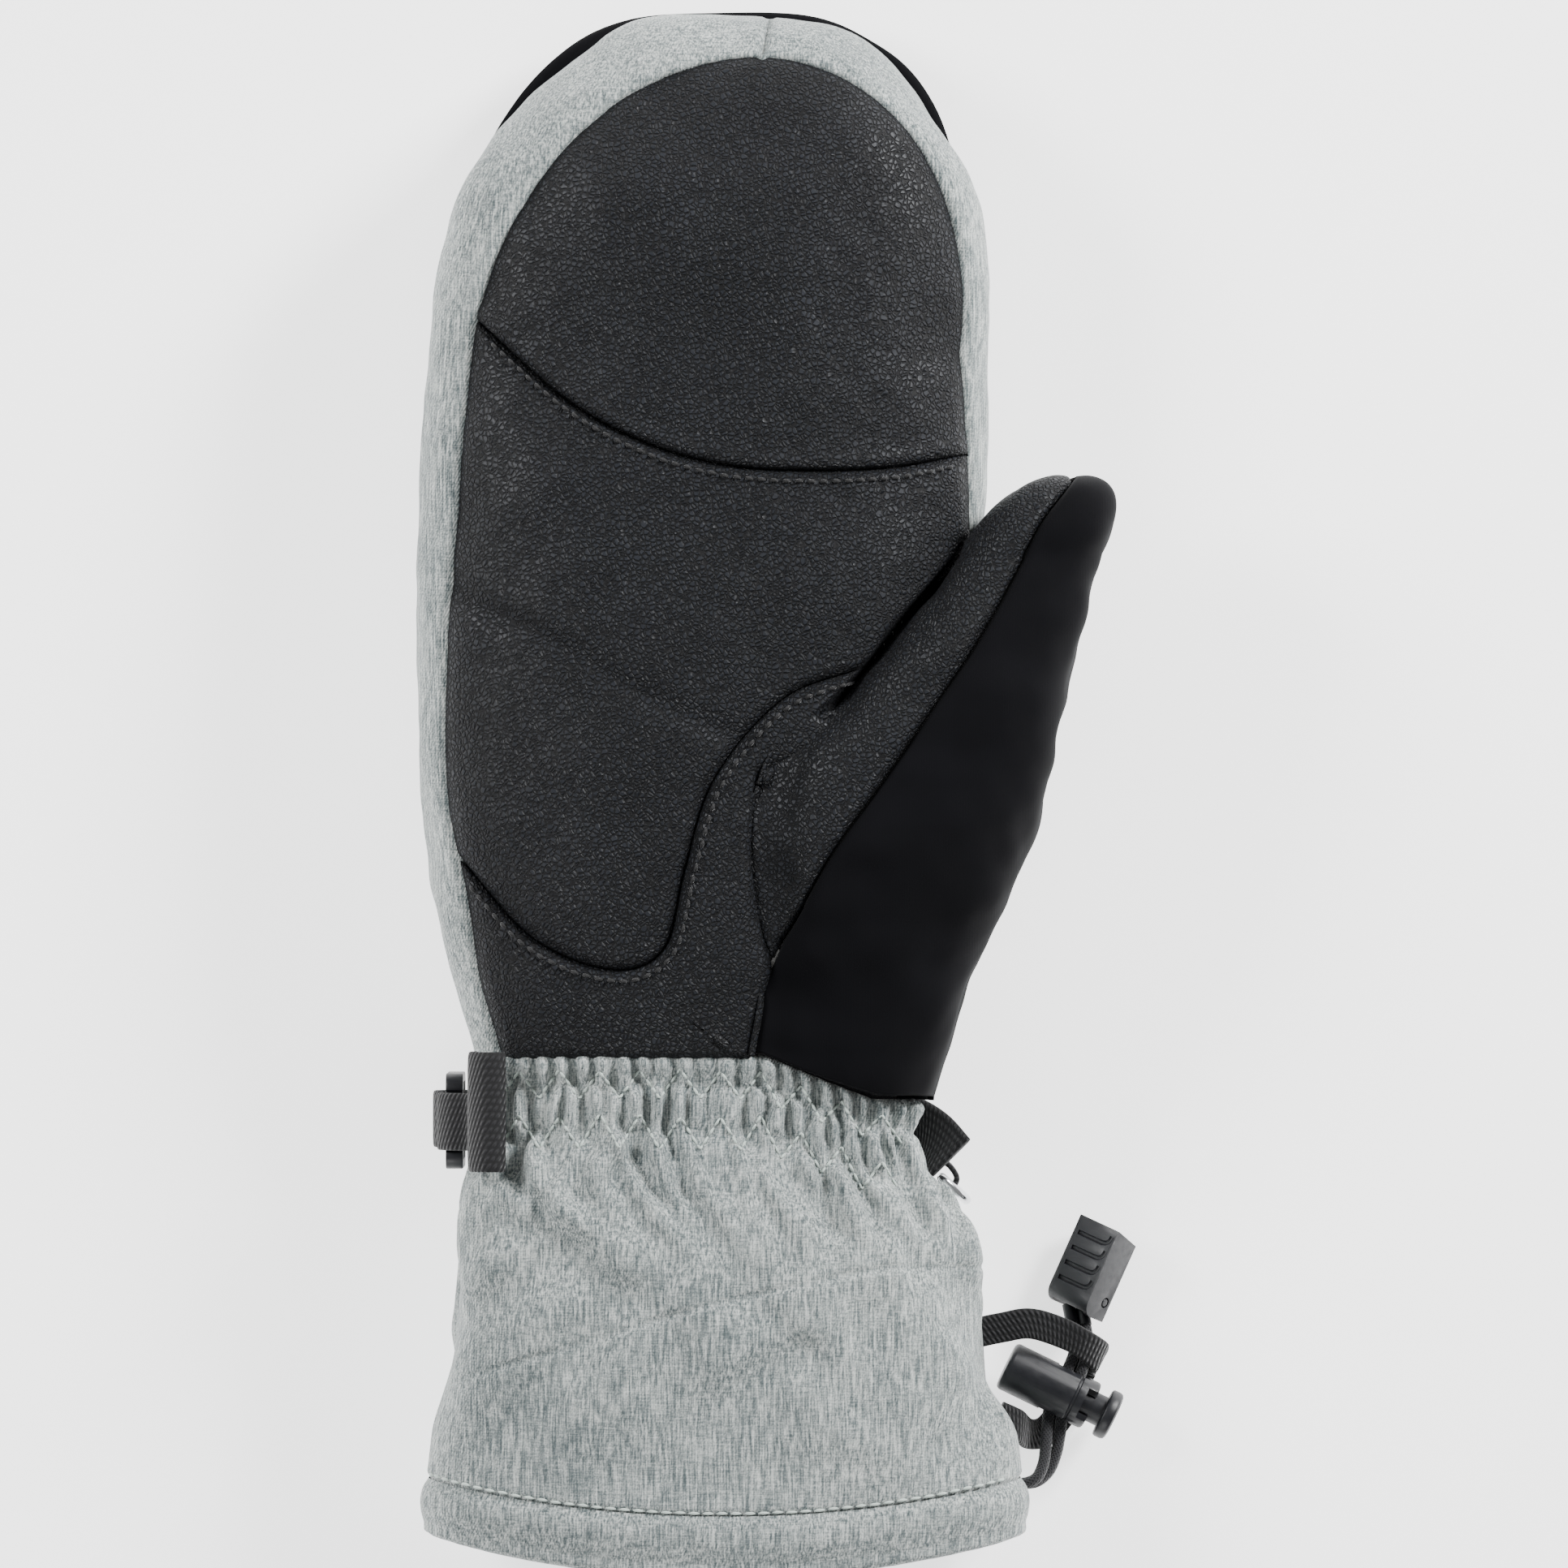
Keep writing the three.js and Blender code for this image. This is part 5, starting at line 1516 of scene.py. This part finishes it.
def webbing_piece(name, rows, width, thickness, steps, place=None):
    """Flat woven webbing along a curve; each row is a point and the direction of its width."""
    rows = np.array(rows, float)
    line = curve_through([tuple(row) for row in rows], steps)
    centre, wide = line[:, :3], line[:, 3:]
    tangents = np.gradient(centre, axis=0)
    tangents /= np.linalg.norm(tangents, axis=1)[:, None]
    corners = 20
    points, uvs = [], []
    length = 0.0
    for number in range(steps):
        if number:
            length += float(np.linalg.norm(centre[number] - centre[number - 1]))
        across = wide[number] - tangents[number] * wide[number].dot(tangents[number])
        across /= np.linalg.norm(across)
        thick = np.cross(tangents[number], across)
        for corner in range(corners + 1):
            angle = 2 * math.pi * corner / corners
            sideways = width / 2 * float(signed_power(math.cos(angle), 0.28))
            depth = thickness / 2 * float(signed_power(math.sin(angle), 0.55))
            points.append(centre[number] + across * sideways + thick * depth)
            uvs.append((sideways, length))
    if place is not None:
        points = [place(point) for point in points]
    piece = mesh_object(name, points, closed_tube_faces(steps, corners + 1), uvs=uvs)
    return finish_piece(piece, "webbing", HAND, name)


def turned(angle_degrees, centre):
    """A function that puts a point from a part's own frame, turned about Z, at its place."""
    angle = math.radians(angle_degrees)
    cosine, sine = math.cos(angle), math.sin(angle)

    def place(point):
        x, y, z = point
        return (centre[0] + x * cosine - y * sine, centre[1] + x * sine + y * cosine, centre[2] + z)
    return place


def lathe(name, profile, place, sides=64):
    """A body turned about +X from (distance, radius) pairs."""
    points = []
    for distance, radius in profile:
        for corner in range(sides):
            angle = 2 * math.pi * corner / sides
            points.append(place((distance, radius * math.cos(angle), radius * math.sin(angle))))
    faces = grid_faces(len(profile), sides, wrap=True)
    faces.append(tuple(range(sides)))
    faces.append(tuple(reversed(range((len(profile) - 1) * sides, len(profile) * sides))))
    return mesh_object(name, points, faces)


def block(name, low, high, place):
    corners = [(x, y, z) for x in (low[0], high[0]) for y in (low[1], high[1]) for z in (low[2], high[2])]
    faces = [(0, 1, 3, 2), (4, 6, 7, 5), (0, 4, 5, 1), (2, 3, 7, 6), (0, 2, 6, 4), (1, 5, 7, 3)]
    return mesh_object(name, [place(corner) for corner in corners], faces)


def combine(thing, others, operation):
    """Joins other solids to a solid, or cuts them from it, and removes them."""
    for other in others:
        step = thing.modifiers.new("join_or_cut", "BOOLEAN")
        step.operation = operation
        step.solver = "EXACT"
        step.object = other
        apply_modifiers(thing)
        bpy.data.objects.remove(other)
    return thing


def soften(thing, width, segments=3, angle=32):
    edge = thing.modifiers.new("edges", "BEVEL")
    edge.width = width * MM
    edge.segments = segments
    edge.limit_method = "ANGLE"
    edge.angle_limit = math.radians(angle)
    edge.harden_normals = False
    apply_modifiers(thing)
    thing.data.shade_smooth()
    thing.data.set_sharp_from_angle(angle=math.radians(50))
    return thing


# ---------- the cord lock ----------

LOCK_END = (51.2, -122.2, 9.2)
LOCK_TURN = -26
LOCK = {"length": 20, "radius": 5.25, "bore": 3.7, "floor": 1.4, "slot": (10, 17), "slot_half": 1.65,
        "stem": 3.3, "head_gap": 2.6, "head": 2.8, "head_radius": 5.3, "travel": 2.4}


SPRING = {"start": 1.95, "length": 1.95, "radius": 2.6, "wire": 0.28, "turns": 2.25}


def build_lock():
    place = turned(LOCK_TURN, LOCK_END)
    radius, length = LOCK["radius"], LOCK["length"]
    bevel = 1.0
    profile = [(0, radius - 1.9)]
    for turn in np.linspace(0, math.pi / 2, 8):
        profile.append((bevel * (1 - math.cos(turn)), radius - bevel + bevel * math.sin(turn)))
    profile += [(length - 4.6, radius), (length - 4.4, radius - 0.25), (length - 4.0, radius - 0.25),
                (length - 3.8, radius), (length - 0.7, radius), (length - 0.2, radius - 0.25),
                (length, radius - 0.7)]
    barrel = lathe("cord_lock_barrel", profile, place)
    bridge = block("bridge", (10.8, -4, -8.6), (20, 4, -3), place)
    combine(barrel, [bridge], "UNION")
    low, high = LOCK["slot"]
    slot = LOCK["slot_half"]
    wing = 3.4
    cutters = [
        lathe("bore", [(LOCK["floor"], LOCK["bore"]), (length + 1, LOCK["bore"])], place, 48),
        block("cross_slot", (low, -9, -slot), (high, 9, slot), place),
        block("bridge_slot", (11.6, -9, -7.6), (19.2, 9, -5.4), place),
        block("wing_notch", (length - 2.2, -wing, 3), (length + 1, wing, 9), place),
    ]
    combine(barrel, cutters, "DIFFERENCE")
    soften(barrel, 0.22)
    finish_piece(barrel, "plastic", HAND, "cord_lock_barrel")

    start = length + LOCK["head_gap"]
    head, head_radius, stem = LOCK["head"], LOCK["head_radius"], LOCK["stem"]
    end = start + head
    profile = [(6.8, stem - 0.3), (7.1, stem), (start, stem), (start, head_radius - 0.5),
               (start + 0.15, head_radius - 0.15), (start + 0.5, head_radius), (end - 1.0, head_radius),
               (end - 0.4, head_radius - 0.22), (end - 0.08, head_radius - 0.8), (end, head_radius - 1.5)]
    plunger = lathe("cord_lock_plunger", profile, place)
    stem_slot = block("stem_slot", (low, -9, -slot), (high + LOCK["travel"], 9, slot), place)
    combine(plunger, [stem_slot], "DIFFERENCE")
    soften(plunger, 0.15)
    finish_piece(plunger, "plastic", "plunger", "cord_lock_plunger")

    coil = []
    for fraction in np.linspace(0, 1, 60):
        angle = fraction * SPRING["turns"] * 2 * math.pi
        across = (SPRING["radius"] * math.cos(angle), SPRING["radius"] * math.sin(angle))
        coil.append(place((SPRING["start"] + SPRING["length"] * fraction, *across)))
    spring = tube_piece("cord_lock_spring", coil, SPRING["wire"], 200, 10)
    finish_piece(spring, "steel", HAND, "cord_lock_spring")


def build_lock_loop():
    # Each row is a point of the loop and the direction of its width
    rows = [
        [45.4, -115, 16.4, 0.1, 1, 0.1], [50.4, -114, 16, 0.1, 1, 0.1], [56, -113.2, 15.6, 0.1, 1, 0],
        [62, -114.9, 14.4, 0.2, 1, 0.15], [67.4, -117.6, 12.9, 0.35, 0.9, 0.5],
        [70.9, -120.4, 9, 0.3, 0.9, 0.3], [70.6, -121.6, 4.2, 0.6, 0.6, 0],
        [67.8, -122.8, 2.7, 0.9, -0.44, 0], [65.4, -127.6, 2.7, 0.9, -0.44, 0],
        [63, -132.6, 2.7, 0.9, -0.44, 0],
        [59.6, -136.4, 4, 0.6, -0.9, 0], [56, -136.8, 8, -0.1, -1, 0], [53.6, -134.6, 13.5, -0.1, -1, 0],
        [49.6, -132.6, 16.5, -0.1, -1, 0],
    ]
    webbing_piece("cord_lock_loop", rows, LOCK_LOOP_WIDTH, LOOP_THICKNESS, 150)


# ---------- the clip ----------

CLIP_PLACE = (65.4, -110.6, 6.6)
CLIP_TURN = -24
CLIP_ROLL = -38
CLIP = {"width": 11, "length": 19, "depth": 7.6, "wall": 1.2, "pin_y": 4, "pin_z": -1.9, "pin_radius": 0.85,
        "pin_room": 1.15, "knuckle": 1.9, "insert_short": 2.6, "ribs": 4, "first_rib": 5.2, "rib_pitch": 3.4}


def clip_place(point):
    """From the clip's own frame: X across, Y along from the cord end, Z out of the ribbed face."""
    roll = math.radians(CLIP_ROLL)
    x, y, z = point
    rolled = (x * math.cos(roll) + z * math.sin(roll), y, -x * math.sin(roll) + z * math.cos(roll))
    return turned(CLIP_TURN, CLIP_PLACE)(rolled)


def rod(name, low, high, radius, sides=40):
    """A round bar across the clip, in line with its pin."""
    points = []
    for x in (low, high):
        for angle in round_corners(sides):
            y, z = CLIP["pin_y"] + radius * math.cos(angle), CLIP["pin_z"] + radius * math.sin(angle)
            points.append(clip_place((x, y, z)))
    faces = grid_faces(2, sides, wrap=True)
    faces += [tuple(range(sides)), tuple(reversed(range(sides, 2 * sides)))]
    return outward_solid(mesh_object(name, points, faces))


def prism(name, outline, half_width, place):
    """A solid with an outline in Y and Z, as wide to each side along X."""
    points = [place((x, y, z)) for x in (-half_width, half_width) for y, z in outline]
    count = len(outline)
    faces = [(a, (a + 1) % count, count + (a + 1) % count, count + a) for a in range(count)]
    faces += [tuple(range(count)), tuple(range(count, 2 * count))]
    return outward_solid(mesh_object(name, points, faces))


def outward_solid(piece):
    mesh = bmesh.new()
    mesh.from_mesh(piece.data)
    bmesh.ops.recalc_face_normals(mesh, faces=mesh.faces)
    mesh.to_mesh(piece.data)
    mesh.free()
    return piece


def build_clip():
    half_width, half_depth = CLIP["width"] / 2, CLIP["depth"] / 2
    length, wall, room = CLIP["length"], CLIP["wall"], CLIP["pin_room"]
    side = [(0, -half_depth), (length - 1.5, -half_depth), (length, half_depth)]
    side += arc((3, half_depth - 3), 3, 1, 2, 10)
    body = prism("cord_clip_body", side, half_width, clip_place)
    inside_high = (half_width - wall, 30, half_depth - wall)
    cutters = [block("inside", (-half_width + wall, -1, -9), inside_high, clip_place)]
    for rib in range(CLIP["ribs"]):
        y = CLIP["first_rib"] + rib * CLIP["rib_pitch"]
        cutters.append(groove(f"groove_{rib}", y, half_width, half_depth))
    cutters.append(rod("pin_hole", -half_width - 1, half_width + 1, room))
    combine(body, [outward_solid(cutter) for cutter in cutters], "DIFFERENCE")
    soften(body, 0.35)
    finish_piece(body, "plastic", HAND, "cord_clip_body")

    pin = rod("cord_clip_pin", -half_width, half_width, CLIP["pin_radius"])
    soften(pin, 0.15)
    finish_piece(pin, "plastic", HAND, "cord_clip_pin")

    inner, end = half_width - wall - 0.4, length - CLIP["insert_short"]
    insert = block("cord_clip_insert", (-inner, CLIP["pin_y"], -half_depth), (inner, end, -half_depth + 1.3),
                   clip_place)
    lip = block("lip", (-inner, end - 1.6, -half_depth), (inner, end, half_depth - wall - 0.8), clip_place)
    outward_solid(insert)
    combine(insert, [rod("knuckle", -inner, inner, CLIP["knuckle"]), outward_solid(lip)], "UNION")
    combine(insert, [rod("pin_room", -half_width, half_width, room)], "DIFFERENCE")
    soften(insert, 0.18)
    finish_piece(insert, "plastic", "clip_insert", "cord_clip_insert")
    return [body, pin, insert]


def groove(name, y, half_width, half_depth):
    """A J-shaped groove across the clip's face."""
    plan = ((-half_width + 1.2, 0), (0, 0), (half_width - 2.6, 0.1), (half_width - 1.5, 0.8),
            (half_width - 1.2, 2.0))
    route = [(x, y + bend, half_depth + 0.1) for x, bend in plan]
    sides, steps = 12, 24
    _, points, _ = tube_points(route, 0.55, steps, sides)
    points = [point for number, point in enumerate(points) if number % (sides + 1) != sides]
    faces = grid_faces(steps, sides, wrap=True)
    faces += [tuple(range(sides)), tuple(reversed(range((steps - 1) * sides, steps * sides)))]
    return mesh_object(name, [clip_place(point) for point in points], faces)


# ---------- the wrist fittings ----------

BUCKLE = {"x": -64.6, "thick": 3.6, "y": -70.4, "width": 20, "low": 4.2, "high": 28, "side": 2, "bar": 3.4}


def build_buckle():
    place = turned(0, (BUCKLE["x"], BUCKLE["y"], 0))
    half, low, high = BUCKLE["width"] / 2, BUCKLE["low"], BUCKLE["high"]
    corner = 3
    outline = [(-half, low + corner), *arc((-half + corner, high - corner), corner, 2, 1, 8)]
    outline += arc((half - corner, high - corner), corner, 1, 0, 8)
    outline += [(half, low + corner), (half - 2, low), (-half + 2, low)]
    buckle = prism("buckle", outline, BUCKLE["thick"] / 2, place)
    middle = (low + high) / 2
    inner = half - BUCKLE["side"]
    cutters = []
    slots = ((low + BUCKLE["bar"], middle - 1.2), (middle + 1.2, high - BUCKLE["bar"]))
    for number, (start, end) in enumerate(slots):
        cutters.append(block(f"slot_{number}", (-9, -inner, start), (9, inner, end), place))
    for number, y in enumerate(np.linspace(-6, 6, 5)):
        cutters.append(block(f"grip_{number}", (-3, y - 0.35, high - 0.5), (3, y + 0.35, high + 1), place))
    combine(buckle, [outward_solid(cutter) for cutter in cutters], "DIFFERENCE")
    soften(buckle, 0.4)
    finish_piece(buckle, "plastic", "buckle_frame", "buckle")


def build_wrist_webbing():
    bar = BUCKLE["x"]
    top = BUCKLE["high"] - BUCKLE["bar"] / 2
    foot = BUCKLE["low"] + BUCKLE["bar"] / 2
    y = BUCKLE["y"]
    flat = [0, 1, 0]
    tab = [
        [-60.2, y, 34.5], [-62, y, 32.4], [bar - 0.8, y, top + 4], [bar - 3, y, top + 0.6],
        [bar - 2.6, y, top - 3.2], [bar, y, top - 4], [bar + 2.9, y, top - 2], [-60.6, y, 28.2],
    ]
    webbing_piece("buckle_tab", [row + flat for row in tab], STRAP_WIDTH, STRAP_THICKNESS, 100)
    strap = [
        [-52, y, 9], [-58, y, 10.4], [bar + 0.6, y, foot + 5], [bar - 3.6, y, foot + 3.6],
        [bar - 4.2, y, foot - 1.6], [bar, y, foot - 4.4], [-58, y, 3.6], [-46, y, 5.6], [-12, y, 6.6],
        [16, y, 6.6], [26, y - 0.4, 7], [32, y - 1.4, 9.6],
    ]
    tail = [[36, y - 4, 14, 0.3, 1, 0], [39.2, y - 8, 18.6, 0.6, 0.8, 0]]
    rows = [row + flat for row in strap] + tail
    webbing_piece("wrist_strap", rows, STRAP_WIDTH, STRAP_THICKNESS, 220)
    loop = ((-53.8, 44.4), (-55.4, 45.6), (-57.8, 45.4), (-60.4, 42.6), (-60.8, 39.6), (-59.7, 37.8))
    rows = [[x, SIDE_LOOP_Y, z] + flat for x, z in loop]
    webbing_piece("side_loop", rows, SIDE_LOOP_WIDTH, LOOP_THICKNESS, 90)


RING = {"place": (38.4, -83.4, 8.4), "turn": -42, "wire": 2, "inner": 5, "tab_width": 8}


def build_ring():
    place = turned(RING["turn"], RING["place"])
    wire, inner = RING["wire"], RING["inner"]
    middle = inner + wire / 2
    route = [(-wire / 2, 0, z) for z in np.linspace(-middle + 0.6, middle - 0.6, 9)]
    for turn in np.linspace(math.pi / 2, -math.pi / 2, 25):
        route.append((middle * math.cos(turn), 0, middle * math.sin(turn)))
    route.append(route[0])
    points = [place(point) for point in route]
    ring = tube_piece("d_ring", points, wire / 2, 140, 18)
    finish_piece(ring, "steel", "ring", "d_ring")
    half = [(-5.4, 2.2), (-3.4, 2.7), (-1, 2.9), (1.6, 1.8)]
    other_half = [(1.8, -1.6), (-1, -2.9), (-3.4, -2.7), (-5.4, -2.2)]
    rows = [[x, side, 0, 0, 0, 1] for x, side in half + other_half]
    webbing_piece("d_ring_tab", rows, RING["tab_width"], STRAP_THICKNESS, 90, place)


# ---------- everything, in order ----------

build_stage()
clip_pieces = build_clip()
build_strands()
build_clip_sleeves()
build_palm()
build_gusset()
build_back()
build_thumb()
build_cuff()
build_layers()
build_lock()
build_lock_loop()
build_buckle()
build_wrist_webbing()
build_ring()

boxes = {"cad": CAD_BOX, "visual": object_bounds()}
{key: [[float(value) for value in corner] for corner in box] for key, box in boxes.items()}
